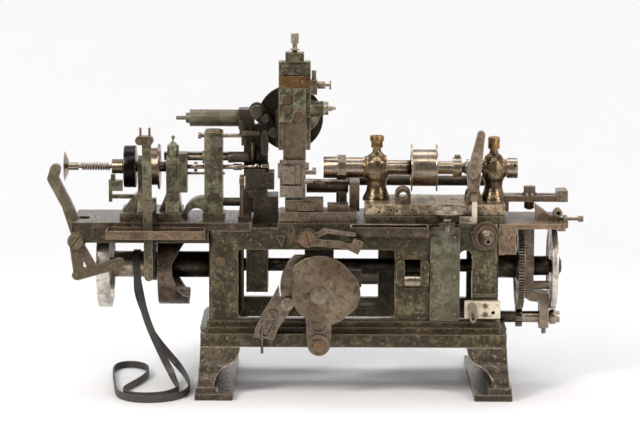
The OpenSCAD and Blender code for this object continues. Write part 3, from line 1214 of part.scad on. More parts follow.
// Lever above the front cam
module centre_lever() color("#5a4e3c") difference() {
    union() {
        front_plate(centre_y[0], centre_y[1]) {
            translate(lever_pivot) circle(14);
            bar([lever_pivot[0] + 4, lever_pivot[1] - 6], [-20, bed_z - 26], 5.5);
            translate([3, bed_z - 29]) rotate(-26) square([16, 20], center = true);
            rect([-22, -2], [bed_z - 32, bed_z - 24]);
        }
        front_plate(centre_y[0], centre_y[1]) polygon([[-62, bed_z - 12], [-44, bed_z - 2], [2, bed_z - 9],
            [2, bed_z - 14], [-40, bed_z - 9], [-58, bed_z - 18]]);
        ycyl(centre_y[0] - 3, centre_y[0], 5, -45, bed_z - 6);
    }
    ycyl(centre_y[0] - 5, centre_y[1] + 5, 5 + fit, lever_pivot[0], lever_pivot[1]);
}

module front_shaft() color("#857c6b") {
    xcyl(64, 113, shaft_r / 2, shaft_y, shaft_z);
    xcyl(77, 100, shaft_r, shaft_y, shaft_z);
}

// Threading spindle with its two pulleys
black_x = [-349, -331];
steel_x = [-313, -295];

module threading_spindle() color("#6a6459") difference() {
    union() {
        xcyl(hub_x, -258, thread_r, spindle_y, spindle_z);
        xcyl(hub_x, black_x[0] + 1, 11, spindle_y, spindle_z);
        xcyl(black_x[0], black_x[1], black_pulley_d / 2, spindle_y, spindle_z);
        xcyl(steel_x[0], steel_x[1], steel_pulley_d / 2, spindle_y, spindle_z);
        xcyl(steel_x[1] - 2.5, steel_x[1] + 0.5, steel_pulley_d / 2 + 6, spindle_y, spindle_z);
    }
    xcyl(hub_x - 1, -257, rod_r + 0.3, spindle_y, spindle_z);
    difference() {
        xcyl(black_x[0] - 1, black_x[0] + 7, black_pulley_d / 2 - 8, spindle_y, spindle_z);
        xcyl(black_x[0] - 2, black_x[0] + 8, 14, spindle_y, spindle_z);
    }
}

// Push rod with the thin bell disc and the end boss
module push_rod() color("#756c5b") difference() {
    union() {
        xcyl(-437, -143, rod_r, spindle_y, spindle_z);
        xcyl(-434, -419, 6, spindle_y, spindle_z);
        xcone(-440, -434, disc_d / 2, 10, spindle_y, spindle_z);
        xcyl(-243, -238, 7.4, spindle_y, spindle_z);
        xcyl(-183, -170, 5, spindle_y, spindle_z);
        xcyl(-160, -129, 5, spindle_y, spindle_z);
        translate([-148, spindle_y, spindle_z]) sphere(rod_ball);
        xcyl(-140, -129.5, 7.2, spindle_y, spindle_z, $fn = 8);
    }
    xcone(-441, -436, disc_d / 2 + 2, 9, spindle_y, spindle_z);
    ycyl(spindle_y - 9, spindle_y - 3, 3.2, -148, spindle_z);
}

// Spring between the hub of the disc and the threading spindle
spring_x = [-419, hub_x];
coil_r = rod_r + wire_d / 2 + 1;
function coil_at(t) = let (a = 360 * curls * t, lead = 2 * wire_d)
    [spring_x[0] + lead + (spring_x[1] - spring_x[0] - 2 * lead) * t, spindle_y + coil_r * cos(a),
        spindle_z + coil_r * sin(a)];
spring_line = concat([[spring_x[0] + air, spindle_y + coil_r, spindle_z], [spring_x[0] + wire_d, spindle_y + coil_r,
    spindle_z]], [for (i = [0 : 8 * curls]) coil_at(i / (8 * curls))], [[spring_x[1] - wire_d, spindle_y + coil_r,
    spindle_z], [spring_x[1] - air, spindle_y + coil_r, spindle_z]]);

function wire_ring(line, i, r, n) =
    let (m = len(line), t = unit(line[min(i + 1, m - 1)] - line[max(i - 1, 0)]),
        out = [0, line[i][1] - spindle_y, line[i][2] - spindle_z], w = unit(out - (out * t) * t), u = cross(t, w))
    [for (k = [0 : n - 1]) line[i] + r * (cos(360 * k / n) * w + sin(360 * k / n) * u)];

module return_spring() color("#7f776a") tube([for (i = [0 : len(spring_line) - 1]) wire_ring(spring_line, i, wire_d / 2, 6)]);

echo(spring_gap = (spring_x[1] - spring_x[0] - 4 * wire_d) / curls - wire_d);

module shifter_lever() color("#5b6354") {
    front_plate(shift_y[0], shift_y[1]) {
        link([shift_x - 0.5, bed_z - 80], 6.4, [shift_x - 3, bed_z + 122], 6.8);
    }
    ycyl(shift_y[0] - 1, stand_y[0] - air, 9, shift_x, shift_z);
    ycyl(stand_y[0] - air, stand_y[0] + 12, 5 - fit, shift_x, shift_z);
    ycyl(shift_y[0] - 3, shift_y[0] - 1, 6, shift_x, shift_z);
    ycyl(shift_y[0] - 2, shift_y[0], 4.4, shift_x, bed_z - 78);
    // fork block and its two pins
    front_plate(shift_y[0] - 4, shift_y[1] + 6) bar([shift_x - 13, bed_z + 126], [shift_x + 1, bed_z + 126], 6.6);
    for (x = [-14, 2]) ycyl(shift_y[0] - 6, shift_y[0], 2.6, shift_x + x, bed_z + 125);
    for (x = [-12, 1.5]) zcyl(bed_z + 130, bed_z + 145, 1.8, shift_x + x, -93);
}

// Hand lever and the rocker below the table, on one shaft
module hand_lever() color("#6c6f5c") {
    rock_y = front_y - 4 - air;
    ycyl(rock_y - 1, -22, 6, hand_x, hand_z);
    difference() {
        ycyl(rock_y - 18, rock_y - 9, 11, hand_x, hand_z);
        translate([hand_x, rock_y - 18, hand_z]) rotate([0, -50, 0]) cube([30, 5, 2.6], center = true);
    }
    front_plate(-36, -24) {
        link([hand_x, hand_z], 11, [-436, bed_z + 22], 8);
        link([-436, bed_z + 22], 8.2, [-456, bed_z + 60], 8.7);
        bar([-456, bed_z + 60], [-452, bed_z + 74], 8.3);
    }
    front_plate(rock_y - 9, rock_y) {
        translate([hand_x, hand_z]) circle(12.5);
        link([hand_x, hand_z], 10, [-413, bed_z - 76], 7.5);
        bar([-415, bed_z - 78], [-352, bed_z - 60], 8);
        bar([-392, bed_z - 67], [hand_x + 2, hand_z + 1], 6.5);
    }
    ycyl(rock_y - 12, rock_y - 9, 4, -419, bed_z - 78);
    ycyl(rock_y - 11, rock_y - 9, 4.4, -361, bed_z - 63);
}

module overhead_disc() color("#5d5248") difference() {
    union() {
        ycyl(frame_y[1] + 1, frame_y[1] + 9, over_r, over_x, over_z);
        ycyl(-16, frame_y[1] + 14, 6, over_x, over_z);
        ycyl(frame_y[1] + 9, frame_y[1] + 15, 12, over_x, over_z);
    }
    ycyl(frame_y[1], frame_y[1] + 10, 6, over_x - 30, over_z - 10);
}

module lift_rod() color("#6d5a46") {
    zcyl(sill_z + 8, bed_z + 70, rod_r, lift_x, lift_y);
    zcyl(bed_z - 40, bed_z - 34, 6, lift_x, lift_y);
    block([lift_x - 4, lift_x + 4], [lift_y - 4, lift_y + 4], [bed_z + 56, bed_z + 65]);
}

left_foot();
right_foot();
main_casting();
left_table();
drip_tray();
attachment_stand();
column();
guide_rods();
tool_frame();
overarm_tube();
slide_housing();
slide_cap();
height_screw();
tool_rest();
cross_bearing();
side_cover();
fixing_screws();
oil_gutter();
latch_block();
index_pointer();
crank_hub();
right_shelf();
right_bracket();
support_bar();
drive_belt();
headstock();
oil_cups();
bearing_bushes();
feed_arm();
clamp_knob();
spindle();
spindle_pulley();
closing_sleeve();
collet_lever();
tool_slide();
tool_blocks();
thumb_screw();
micrometer_screw();
camshaft();
bell_cam();
left_wheel();
right_wheel();
cam_gear();
pinion_shaft();
cross_shaft();
front_cam();
rocker_arm();
rocker_roller();
centre_lever();
front_shaft();
threading_spindle();
push_rod();
return_spring();
shifter_lever();
hand_lever();
overhead_disc();
crank_spindle();
latch_hook();
lift_rod();
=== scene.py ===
import json
import math

import bmesh
import bpy
from mathutils import Matrix, Vector


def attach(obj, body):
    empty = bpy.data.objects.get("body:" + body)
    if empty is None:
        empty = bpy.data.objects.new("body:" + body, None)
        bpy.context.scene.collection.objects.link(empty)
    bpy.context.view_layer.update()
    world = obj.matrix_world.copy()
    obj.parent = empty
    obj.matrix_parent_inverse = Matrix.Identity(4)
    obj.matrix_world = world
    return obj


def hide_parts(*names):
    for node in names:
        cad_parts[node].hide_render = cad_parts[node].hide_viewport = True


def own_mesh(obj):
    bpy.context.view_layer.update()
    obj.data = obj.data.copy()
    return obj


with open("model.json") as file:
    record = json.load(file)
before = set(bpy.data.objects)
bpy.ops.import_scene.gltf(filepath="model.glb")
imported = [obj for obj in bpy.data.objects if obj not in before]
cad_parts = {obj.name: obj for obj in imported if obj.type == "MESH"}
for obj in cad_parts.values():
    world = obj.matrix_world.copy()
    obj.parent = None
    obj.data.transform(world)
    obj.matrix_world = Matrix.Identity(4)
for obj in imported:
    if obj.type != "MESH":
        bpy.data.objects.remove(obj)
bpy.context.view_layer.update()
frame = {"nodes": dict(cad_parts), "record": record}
nodes = frame["nodes"]
MM = 0.001


def mm(*v):
    """A place given in millimetres, as a vector in metres."""
    return Vector([x * MM for x in v])


def circle_point(radius, degrees):
    """Cosine and sine part of a point on a circle."""
    a = math.radians(degrees)
    return radius * math.cos(a), radius * math.sin(a)


# Camera, placed to match the photograph
CAMERA_AT = (-0.05107, -4.02678, 0.85570)
CAMERA_TILT, CAMERA_ROLL = 81.6, 0.25
cam_data = bpy.data.cameras.new("camera")
cam_data.lens = 149.6
cam_data.sensor_width = 36.0
cam_data.clip_end = 50.0
camera = bpy.data.objects.new("camera", cam_data)
bpy.context.scene.collection.objects.link(camera)
camera.matrix_world = (
    Matrix.Translation(CAMERA_AT)
    @ Matrix.Rotation(math.radians(CAMERA_TILT), 4, "X")
    @ Matrix.Rotation(math.radians(CAMERA_ROLL), 4, "Z")
)
bpy.context.scene.camera = camera


# Mesh pieces
def new_object(name, bm, material, angle, body="base"):
    """A smooth mesh piece from a bmesh, with sharp edges kept above an angle."""
    mesh = bpy.data.meshes.new(name)
    bm.normal_update()
    for f in bm.faces:
        f.smooth = True
    limit = math.radians(angle)
    for e in bm.edges:
        if len(e.link_faces) == 2 and e.calc_face_angle(0) > limit:
            e.smooth = False
    bm.to_mesh(mesh)
    bm.free()
    ob = bpy.data.objects.new(name, mesh)
    bpy.context.scene.collection.objects.link(ob)
    mesh.materials.append(material)
    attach(ob, body)
    return ob


def smooth_spline(points, per):
    """Points along a Catmull-Rom spline, per pieces between two given points."""
    out = []
    last = len(points) - 1
    for i in range(last):
        p0, p1, p2, p3 = points[max(i - 1, 0)], points[i], points[i + 1], points[min(i + 2, last)]
        for k in range(per):
            t = k / per
            square = 2 * p0 - 5 * p1 + 4 * p2 - p3
            cube = 3 * p1 - p0 - 3 * p2 + p3
            out.append(0.5 * (2 * p1 + (p2 - p0) * t + square * t * t + cube * t * t * t))
    out.append(points[-1].copy())
    return out


def directions(line):
    """Unit direction of a line of points at each of them."""
    last = len(line) - 1
    return [(line[min(i + 1, last)] - line[max(i - 1, 0)]).normalized() for i in range(last + 1)]


def join_rings(bm, pairs):
    """Faces between rings of the same number of points."""
    for a, b in pairs:
        k = len(a)
        for j in range(k):
            bm.faces.new((a[j], a[(j + 1) % k], b[(j + 1) % k], b[j]))


def skin(bm, rings):
    """Closed skin over a row of rings, with a flat face on both ends."""
    join_rings(bm, zip(rings, rings[1:]))
    bm.faces.new(list(reversed(rings[0])))
    bm.faces.new(rings[-1])
    bmesh.ops.recalc_face_normals(bm, faces=bm.faces)


# Shader nodes
def node_material(name):
    """New material: itself, its node tree, its surface and the place on the part."""
    m = bpy.data.materials.new(name)
    m.use_nodes = True
    nt = m.node_tree
    nt.nodes.clear()
    out = nt.nodes.new("ShaderNodeOutputMaterial")
    bsdf = nt.nodes.new("ShaderNodeBsdfPrincipled")
    nt.links.new(bsdf.outputs[0], out.inputs[0])
    coord = nt.nodes.new("ShaderNodeTexCoord")
    return m, nt, bsdf, coord.outputs["Object"]


def put(nt, socket, value):
    """Links an output to a socket, or sets the socket to a colour or a number."""
    if isinstance(value, bpy.types.NodeSocket):
        nt.links.new(value, socket)
    elif isinstance(value, tuple):
        socket.default_value = (*value, 1.0)
    else:
        socket.default_value = value


def noise(nt, vec, scale, detail, rough=0.55, stretch=None, turn=0.0):
    """Cloudy noise from 0 to 1. A stretch below one draws it out along that axis."""
    if stretch:
        mp = nt.nodes.new("ShaderNodeMapping")
        mp.inputs["Scale"].default_value = stretch
        if turn:
            mp.vector_type = "TEXTURE"
            mp.inputs["Rotation"].default_value = (0.0, turn, 0.0)
        nt.links.new(vec, mp.inputs["Vector"])
        vec = mp.outputs[0]
    n = nt.nodes.new("ShaderNodeTexNoise")
    n.inputs["Scale"].default_value = scale
    n.inputs["Detail"].default_value = detail
    n.inputs["Roughness"].default_value = rough
    nt.links.new(vec, n.inputs["Vector"])
    return n.outputs["Fac"]


def ramp(nt, fac, stops):
    """Colour ramp, each stop being a position and a colour or a grey."""
    r = nt.nodes.new("ShaderNodeValToRGB")
    els = r.color_ramp.elements
    while len(els) > 1:
        els.remove(els[-1])
    for i, (pos, col) in enumerate(stops):
        e = els[0] if i == 0 else els.new(pos)
        e.position = pos
        e.color = (*col, 1.0) if isinstance(col, tuple) else (col, col, col, 1.0)
    nt.links.new(fac, r.inputs[0])
    return r.outputs[0]


def mix(nt, fac, a, b, mode="MIX"):
    """Colour between a and b."""
    m = nt.nodes.new("ShaderNodeMix")
    m.data_type = "RGBA"
    m.blend_type = mode
    for index, value in ((0, fac), (6, a), (7, b)):
        put(nt, m.inputs[index], value)
    return m.outputs[2]


def maths(nt, op, a, b, clamp=False):
    m = nt.nodes.new("ShaderNodeMath")
    m.operation = op
    m.use_clamp = clamp
    put(nt, m.inputs[0], a)
    put(nt, m.inputs[1], b)
    return m.outputs[0]


def times(nt, a, b):
    return maths(nt, "MULTIPLY", a, b)


def edge_mask(nt, radius, lo, hi):
    """Bright on convex edges: how far a rounded normal turns from the real one."""
    bev = nt.nodes.new("ShaderNodeBevel")
    bev.samples = 4
    bev.inputs["Radius"].default_value = radius
    geo = nt.nodes.new("ShaderNodeNewGeometry")
    dot = nt.nodes.new("ShaderNodeVectorMath")
    dot.operation = "DOT_PRODUCT"
    nt.links.new(bev.outputs[0], dot.inputs[0])
    nt.links.new(geo.outputs["Normal"], dot.inputs[1])
    return ramp(nt, dot.outputs["Value"], [(lo, 1.0), (hi, 0.0)])


def with_painted_shade(nt, col, distance, lo, dark, hi):
    """The colour with painted shade: darker in the crevices of the shape."""
    ao = nt.nodes.new("ShaderNodeAmbientOcclusion")
    ao.samples = 6
    ao.inputs["Distance"].default_value = distance
    return mix(nt, 1.0, col, ramp(nt, ao.outputs["AO"], [(lo, dark), (hi, 1.0)]), "MULTIPLY")


def bump(nt, bsdf, height, strength, distance):
    b = nt.nodes.new("ShaderNodeBump")
    b.inputs["Strength"].default_value = strength
    b.inputs["Distance"].default_value = distance
    nt.links.new(height, b.inputs["Height"])
    nt.links.new(b.outputs[0], bsdf.inputs["Normal"])


def band(nt, vec, axis, lo, hi):
    """One between two places along an axis of the part, in metres, and zero outside."""
    soft = 0.0004
    sep = nt.nodes.new("ShaderNodeSeparateXYZ")
    nt.links.new(vec, sep.inputs[0])
    x = sep.outputs["XYZ".index(axis)]
    up = maths(nt, "DIVIDE", maths(nt, "SUBTRACT", x, lo), soft, clamp=True)
    down = maths(nt, "DIVIDE", maths(nt, "SUBTRACT", hi, x), soft, clamp=True)
    return times(nt, up, down)


# Finishes. A zone is an axis, two places along it and the colour between them.
BARE, RUST = (0.36, 0.27, 0.18), (0.13, 0.080, 0.042)
STEEL, STEEL_DARK, STEEL_TINT = (0.40, 0.335, 0.26), (0.085, 0.062, 0.042), (0.23, 0.165, 0.112)
# The second colour is laid on steel edges: partly wear from rubbing, partly a painted highlight.
OILY, EDGE_WEAR_AND_HIGHLIGHT = (1.0, 0.86, 0.66), (0.74, 0.66, 0.55)


def painted(name, paint, dark, bare=BARE, rust=RUST, wear=0.5, rough=0.34, grain=0.5, zone=None,
            metal=0.0):
    """Old machine paint on cast iron: uneven colour, bare brown edges and painted shade in the crevices."""
    m, nt, bsdf, vec = node_material(name)
    big = noise(nt, vec, scale=11.0, detail=6.0, rough=0.6)
    mid = noise(nt, vec, scale=55.0, detail=8.0, rough=0.68)
    fine = noise(nt, vec, scale=210.0, detail=8.0, rough=0.72)
    if zone:
        axis, lo, hi, other = zone
        inside = band(nt, vec, axis, lo, hi)
        paint = mix(nt, inside, paint, other)
        metal = maths(nt, "SUBTRACT", metal, times(nt, inside, 0.8 * metal))
    col = mix(nt, ramp(nt, big, [(0.38, 0.0), (0.62, 0.75)]), paint, dark)
    col = mix(nt, ramp(nt, mid, [(0.43, 0.0), (0.56, 0.9)]), col, dark)
    col = mix(nt, times(nt, ramp(nt, mid, [(0.36, 1.0), (0.46, 0.0)]), 0.75), col, rust)
    col = mix(nt, ramp(nt, fine, [(0.41, 0.85), (0.49, 0.0)]), col, dark)
    patchy = ramp(nt, mid, [(0.56 - 0.2 * wear, 0.05), (0.68 - 0.2 * wear, 0.95)])
    chips = times(nt, edge_mask(nt, radius=0.0026, lo=0.84, hi=0.985), patchy)
    spots = times(nt, ramp(nt, fine, [(0.575, 0.0), (0.64, 1.0)]), 0.75 * wear)
    worn = maths(nt, "MAXIMUM", chips, spots, clamp=True)
    # Painted shade: the colour is darker in the crevices of the shape.
    col = with_painted_shade(nt, mix(nt, worn, col, bare), distance=0.035, lo=0.15, dark=0.16, hi=0.8)
    put(nt, bsdf.inputs["Base Color"], col)
    put(nt, bsdf.inputs["Metallic"], maths(nt, "MAXIMUM", times(nt, worn, 0.7), metal))
    put(nt, bsdf.inputs["Roughness"], ramp(nt, fine, [(0.36, rough + 0.22), (0.60, rough - 0.1)]))
    put(nt, bsdf.inputs["Specular Tint"], OILY)
    height = maths(nt, "ADD", times(nt, fine, 0.6), mid)
    bump(nt, bsdf, height, strength=grain, distance=0.0022)
    return m


# Stretch of the tool marks: turned about X, turned about Y, brushed aslant, planed along X
MARKS = {"X": (9.0, 0.06, 0.06), "Y": (0.9, 9.0, 0.9), "D": (1.1, 1.0, 0.07), "": (1.0, 7.0, 7.0)}
ASLANT = 0.6


def steel(name, base=STEEL, dark=STEEL_DARK, tint=STEEL_TINT, rough=0.24, turned="", patina=0.7,
          crevice_shade=0.22, knurl=None, zone=None, scratch=0.35, stain=0.8):
    """Bare machined metal: brown patina, turning marks, stains, bright edges that are partly wear from
    rubbing and partly a painted highlight, and painted shade in the crevices.

    A knurl is an axis, two places along it and a pitch."""
    m, nt, bsdf, vec = node_material(name)
    big = noise(nt, vec, scale=20.0, detail=6.0, rough=0.6)
    mid = noise(nt, vec, scale=95.0, detail=7.0, rough=0.68)
    turn = ASLANT if turned == "D" else 0.0
    marks = noise(nt, vec, scale=90.0, detail=4.0, rough=0.7, stretch=MARKS[turned], turn=turn)
    if zone:
        axis, lo, hi, other = zone
        inside = band(nt, vec, axis, lo, hi)
        base, tint = mix(nt, inside, base, other), mix(nt, inside, tint, other)
        dark = mix(nt, inside, dark, tuple(0.5 * c for c in other))
    col = mix(nt, ramp(nt, big, [(0.38, 0.0), (0.60, patina)]), base, tint)
    col = mix(nt, times(nt, ramp(nt, marks, [(0.42, 0.0), (0.66, 1.0)]), scratch), col, dark)
    col = mix(nt, ramp(nt, mid, [(0.50, 0.0), (0.64, stain)]), col, dark)
    # Bright edges: partly wear from rubbing, partly a painted highlight.
    edge = edge_mask(nt, radius=0.0013, lo=0.87, hi=0.99)
    edge_wear_and_highlight = times(nt, edge, ramp(nt, mid, [(0.44, 0.1), (0.58, 0.9)]))
    # Painted shade: in the deepest crevices the colour is multiplied down to the given level.
    col = with_painted_shade(nt, mix(nt, edge_wear_and_highlight, col, EDGE_WEAR_AND_HIGHLIGHT), distance=0.022, lo=0.1, dark=crevice_shade, hi=0.75)
    put(nt, bsdf.inputs["Base Color"], col)
    put(nt, bsdf.inputs["Metallic"], 1.0)
    matt = ramp(nt, mid, [(0.36, rough - 0.06), (0.66, rough + 0.3 * stain)])
    put(nt, bsdf.inputs["Roughness"], maths(nt, "ADD", matt, times(nt, marks, 0.12)))
    height = maths(nt, "ADD", marks, times(nt, big, 0.0 if turned == "X" else 10.0))
    if knurl:
        axis, lo, hi, pitch = knurl
        teeth = nt.nodes.new("ShaderNodeTexVoronoi")
        teeth.inputs["Scale"].default_value = 1.0 / pitch
        nt.links.new(vec, teeth.inputs["Vector"])
        ridge = times(nt, teeth.outputs["Distance"], band(nt, vec, axis, lo, hi))
        height = maths(nt, "ADD", height, times(nt, ridge, 2.5))
    bump(nt, bsdf, height, strength=0.22, distance=0.0006)
    return m


def leather(name):
    """Black belt leather with edges worn lighter by rubbing."""
    m, nt, bsdf, vec = node_material(name)
    mid = noise(nt, vec, scale=90.0, detail=5.0, rough=0.6)
    fine = noise(nt, vec, scale=900.0, detail=2.0)
    worn = times(nt, edge_mask(nt, radius=0.0008, lo=0.9, hi=0.99), 0.5)
    col = mix(nt, ramp(nt, mid, [(0.4, 0.0), (0.7, 1.0)]), (0.050, 0.043, 0.038), (0.028, 0.024, 0.021))
    put(nt, bsdf.inputs["Base Color"], mix(nt, worn, col, (0.13, 0.11, 0.09)))
    put(nt, bsdf.inputs["Roughness"], ramp(nt, mid, [(0.3, 0.45), (0.7, 0.66)]))
    bump(nt, bsdf, fine, strength=0.2, distance=0.0004)
    return m


PAINTS = {
    "dark_casting": dict(paint=(0.104, 0.101, 0.058), dark=(0.013, 0.009, 0.004), wear=0.75, rough=0.24),
    "foot_casting": dict(paint=(0.085, 0.073, 0.053), dark=(0.024, 0.018, 0.013),
                         bare=(0.55, 0.45, 0.34), rust=(0.11, 0.075, 0.048), wear=0.85, rough=0.20),
    "table_casting": dict(paint=(0.060, 0.047, 0.034), dark=(0.022, 0.016, 0.011), wear=0.7,
                          rough=0.24, grain=0.3),
    "grey_casting": dict(paint=(0.200, 0.215, 0.142), dark=(0.024, 0.018, 0.010), wear=0.8, rough=0.22),
    "black_casting": dict(paint=(0.038, 0.033, 0.026), dark=(0.012, 0.010, 0.008),
                          bare=(0.30, 0.22, 0.14), rust=(0.070, 0.045, 0.026), wear=0.45),
    "pale_casting": dict(paint=(0.165, 0.172, 0.120), dark=(0.052, 0.046, 0.030),
                         bare=(0.36, 0.28, 0.19), rust=(0.10, 0.070, 0.042), grain=0.4),
    "hand_paint": dict(paint=(0.190, 0.184, 0.125), dark=(0.060, 0.048, 0.032), wear=0.8, rough=0.24,
                       zone=("Z", 0.10, 0.223, (0.045, 0.034, 0.024))),
    "shifter_paint": dict(paint=(0.190, 0.205, 0.142), dark=(0.028, 0.022, 0.014), wear=0.8, rough=0.24,
                          zone=("Z", 0.3765, 0.42, (0.165, 0.085, 0.058))),
    "lever_casting": dict(paint=(0.36, 0.30, 0.235), dark=(0.085, 0.055, 0.038),
                          bare=(0.66, 0.57, 0.47), rust=(0.17, 0.10, 0.06), wear=0.7, rough=0.28),
    "bone_casting": dict(paint=(0.46, 0.385, 0.305), dark=(0.17, 0.125, 0.09),
                         bare=(0.55, 0.47, 0.38), rust=(0.22, 0.15, 0.09)),
    "rusty_plate": dict(paint=(0.140, 0.100, 0.066), dark=(0.045, 0.030, 0.020),
                        bare=(0.42, 0.31, 0.21), rust=(0.15, 0.085, 0.045), wear=0.7, rough=0.22),
    "shelf_plate": dict(paint=(0.260, 0.185, 0.125), dark=(0.090, 0.058, 0.038),
                        bare=(0.50, 0.38, 0.27), rust=(0.20, 0.110, 0.058), wear=0.7),
    "head_casting": dict(paint=(0.275, 0.210, 0.132), dark=(0.080, 0.057, 0.034),
                         bare=(0.58, 0.45, 0.30), rust=(0.22, 0.125, 0.062), wear=0.7, rough=0.20,
                         grain=0.22, zone=("Z", 0.25, 0.2846, (0.80, 0.62, 0.43)), metal=0.85),
    "cream_paint": dict(paint=(0.72, 0.66, 0.54), dark=(0.55, 0.48, 0.37), rust=(0.32, 0.22, 0.13),
                        wear=0.3, rough=0.4, grain=0.15),
}
METALS = {
    "worn_steel": dict(),
    "turned_steel": dict(base=(0.38, 0.315, 0.245), rough=0.20, turned="X", patina=0.4, scratch=0.4,
                         stain=0.15, knurl=("X", -0.0250, -0.0120, 0.0022)),
    "wheel_steel": dict(base=(0.72, 0.68, 0.62), dark=(0.30, 0.25, 0.20), tint=(0.56, 0.50, 0.43),
                        turned="Y", patina=0.6),
    "brown_steel": dict(base=(0.30, 0.235, 0.170), dark=(0.070, 0.048, 0.032), tint=(0.18, 0.125, 0.082),
                        turned="Y"),
    "smoked_steel": dict(base=(0.17, 0.13, 0.100), dark=(0.040, 0.028, 0.020), tint=(0.10, 0.070, 0.048),
                         turned="Y"),
    "rocker_steel": dict(base=(0.23, 0.18, 0.135), dark=(0.045, 0.031, 0.021), tint=(0.13, 0.092, 0.062),
                         rough=0.22, turned="Y"),
    "dark_steel": dict(base=(0.070, 0.056, 0.044), dark=(0.020, 0.015, 0.011),
                       tint=(0.045, 0.033, 0.024), turned="Y",
                       zone=("X", -0.370, -0.316, (0.36, 0.30, 0.23))),
    # Lighter painted shade in the cam's crevices than on the other steels.
    "cam_steel": dict(base=(0.30, 0.235, 0.165), dark=(0.060, 0.041, 0.026), tint=(0.135, 0.095, 0.060),
                      rough=0.27, turned="D", patina=0.85, crevice_shade=0.4, scratch=0.55),
    "thread_steel": dict(base=(0.19, 0.150, 0.115), tint=(0.125, 0.09, 0.062), rough=0.2, turned="X",
                         stain=0.4, zone=("X", -0.352, -0.3305, (0.016, 0.014, 0.012))),
    "spring_steel": dict(base=(0.40, 0.32, 0.24), rough=0.26),
    "brass": dict(base=(0.34, 0.20, 0.082), dark=(0.070, 0.038, 0.017), tint=(0.19, 0.105, 0.042),
                  rough=0.22, turned="Y", knurl=("Z", 0.363, 0.3795, 0.0016)),
    "copper_screw": dict(base=(0.27, 0.175, 0.110), dark=(0.065, 0.040, 0.025),
                         tint=(0.17, 0.104, 0.062), rough=0.25, turned="Y", patina=0.8),
}
M = {name: painted(name, **look) for name, look in PAINTS.items()}
M.update((name, steel(name, **look)) for name, look in METALS.items())
M["belt"] = leather("belt")

# Drive belt, in millimetres, on the route of the solid: from the front of the steel sleeve down to
# the floor and up behind the sleeve. Each place comes with the direction of the belt's width.
BELT_W, BELT_T, BELT_R, BELT_X, CAM_Z = 11.0, 2.4, 21.5, -331.0, 181.0
FLOOR_RUN = [
    ((-329, -23, 160), (1, 0, 0)), ((-325, -26, 140), (1, 0, 0)), ((-320, -30, 118), (1, 0.1, 0)),
    ((-313, -33, 96), (1, 0.2, 0.1)), ((-305, -34, 76), (1, 0.3, 0.2)), ((-296, -35, 56), (0.9, 0.3, 0.4)),
    ((-287, -38, 38), (0.7, 0.3, 0.6)), ((-278, -45, 22), (0.5, 0.2, 0.8)), ((-271, -58, 11), (0.2, 0.1, 1)),
    ((-266, -74, 7), (0, 0, 1)), ((-264, -92, 6), (0, 0, 1)), ((-268, -112, 6), (0, 0, 1)),
    ((-277, -130, 6), (0, 0, 1)), ((-291, -142, 6), (0, 0, 1)), ((-309, -147, 6), (0, 0, 1)),
    ((-327, -143, 6), (0, 0, 1)), ((-340, -130, 6), (0, 0, 1)), ((-345, -111, 6), (0, 0, 1)),
    ((-342, -91, 6), (0, 0, 1)), ((-336, -70, 6), (0, 0, 1)), ((-329, -48, 6), (0, 0, 1)),
    ((-323, -24, 6), (0, 0, 1)), ((-318, 2, 6), (0, 0, 1)), ((-317, 28, 6), (0, 0, 1)),
    ((-320, 54, 6), (0, 0, 1)), ((-330, 76, 6), (0, 0, 1)), ((-347, 86, 6), (0, 0, 1)),
    ((-363, 78, 6), (0, 0, 1)), ((-370, 58, 6), (0, 0, 1)), ((-371, 32, 6), (0, 0, 1)),
    ((-369, 4, 6), (0, 0, 1)), ((-366, -24, 6), (0, 0, 1)), ((-363, -52, 6), (0, 0, 1)),
    ((-360, -80, 6), (0, 0, 1)), ((-357, -106, 6), (0, 0, 1)), ((-352, -130, 6), (0, 0, 1)),
    ((-341, -151, 6), (0, 0, 1)), ((-325, -164, 6), (0, 0, 1)), ((-306, -168, 6), (0, 0, 1)),
    ((-286, -164, 6), (0, 0, 1)), ((-268, -152, 6), (0, 0, 1)), ((-256, -134, 6), (0, 0, 1)),
    ((-250, -112, 6), (0, 0, 1)), ((-248, -88, 6), (0, 0, 1)), ((-249, -62, 7), (0, 0, 1)),
    ((-253, -36, 9), (0, 0.1, 1)), ((-260, -12, 14), (0, 0.3, 1)), ((-270, 8, 22), (0.1, 0.5, 0.9)),
    ((-283, 22, 34), (0.2, 0.7, 0.7)), ((-297, 31, 50), (0.2, 0.8, 0.5)), ((-310, 35, 69), (0.2, 0.9, 0.3)),
    ((-321, 35, 90), (0.2, 1, 0.2)), ((-329, 32, 112), (0.4, 1, 0.1)), ((-333, 28, 134), (0.8, 0.6, 0)),
    ((-333, 24, 156), (1, 0.2, 0)),
]


def on_sleeve(side, degrees):
    """Place and width of the belt on the sleeve, in front of its axis or behind it."""
    away, up = circle_point(BELT_R, degrees)
    return (BELT_X, side * away, CAM_Z + up), (1, 0, 0)


def make_belt():
    """Flat belt with soft edges, drawn in place of the cord that stands for it, which is hidden."""
    step, per = 18, 4
    route = [on_sleeve(-1, a) for a in range(90, -1, -step)] + FLOOR_RUN
    route += [on_sleeve(1, a) for a in range(0, 90, step)]
    centre = smooth_spline([mm(*p) for p, _ in route], per)
    width = [w.normalized() for w in smooth_spline([Vector(w).normalized() for _, w in route], per)]
    corner = [(1, 0.5), (0.97, 0.86), (0.9, 1)]
    under = [(-x, -y) for x, y in corner] + [(0, -1)] + [(x, -y) for x, y in reversed(corner)]
    profile = under + [(-x, -y) for x, y in under]
    half_w, half_t = 0.5 * BELT_W * MM, 0.5 * BELT_T * MM
    bm = bmesh.new()
    rings = []
    for p, t, w in zip(centre, directions(centre), width):
        w = (w - w.dot(t) * t).normalized()
        u = t.cross(w)
        rings.append([bm.verts.new(p + x * half_w * w + y * half_t * u) for x, y in profile])
    skin(bm, rings)
    ob = new_object("belt_band", bm, M["belt"], angle=50)
    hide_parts("drive_belt")


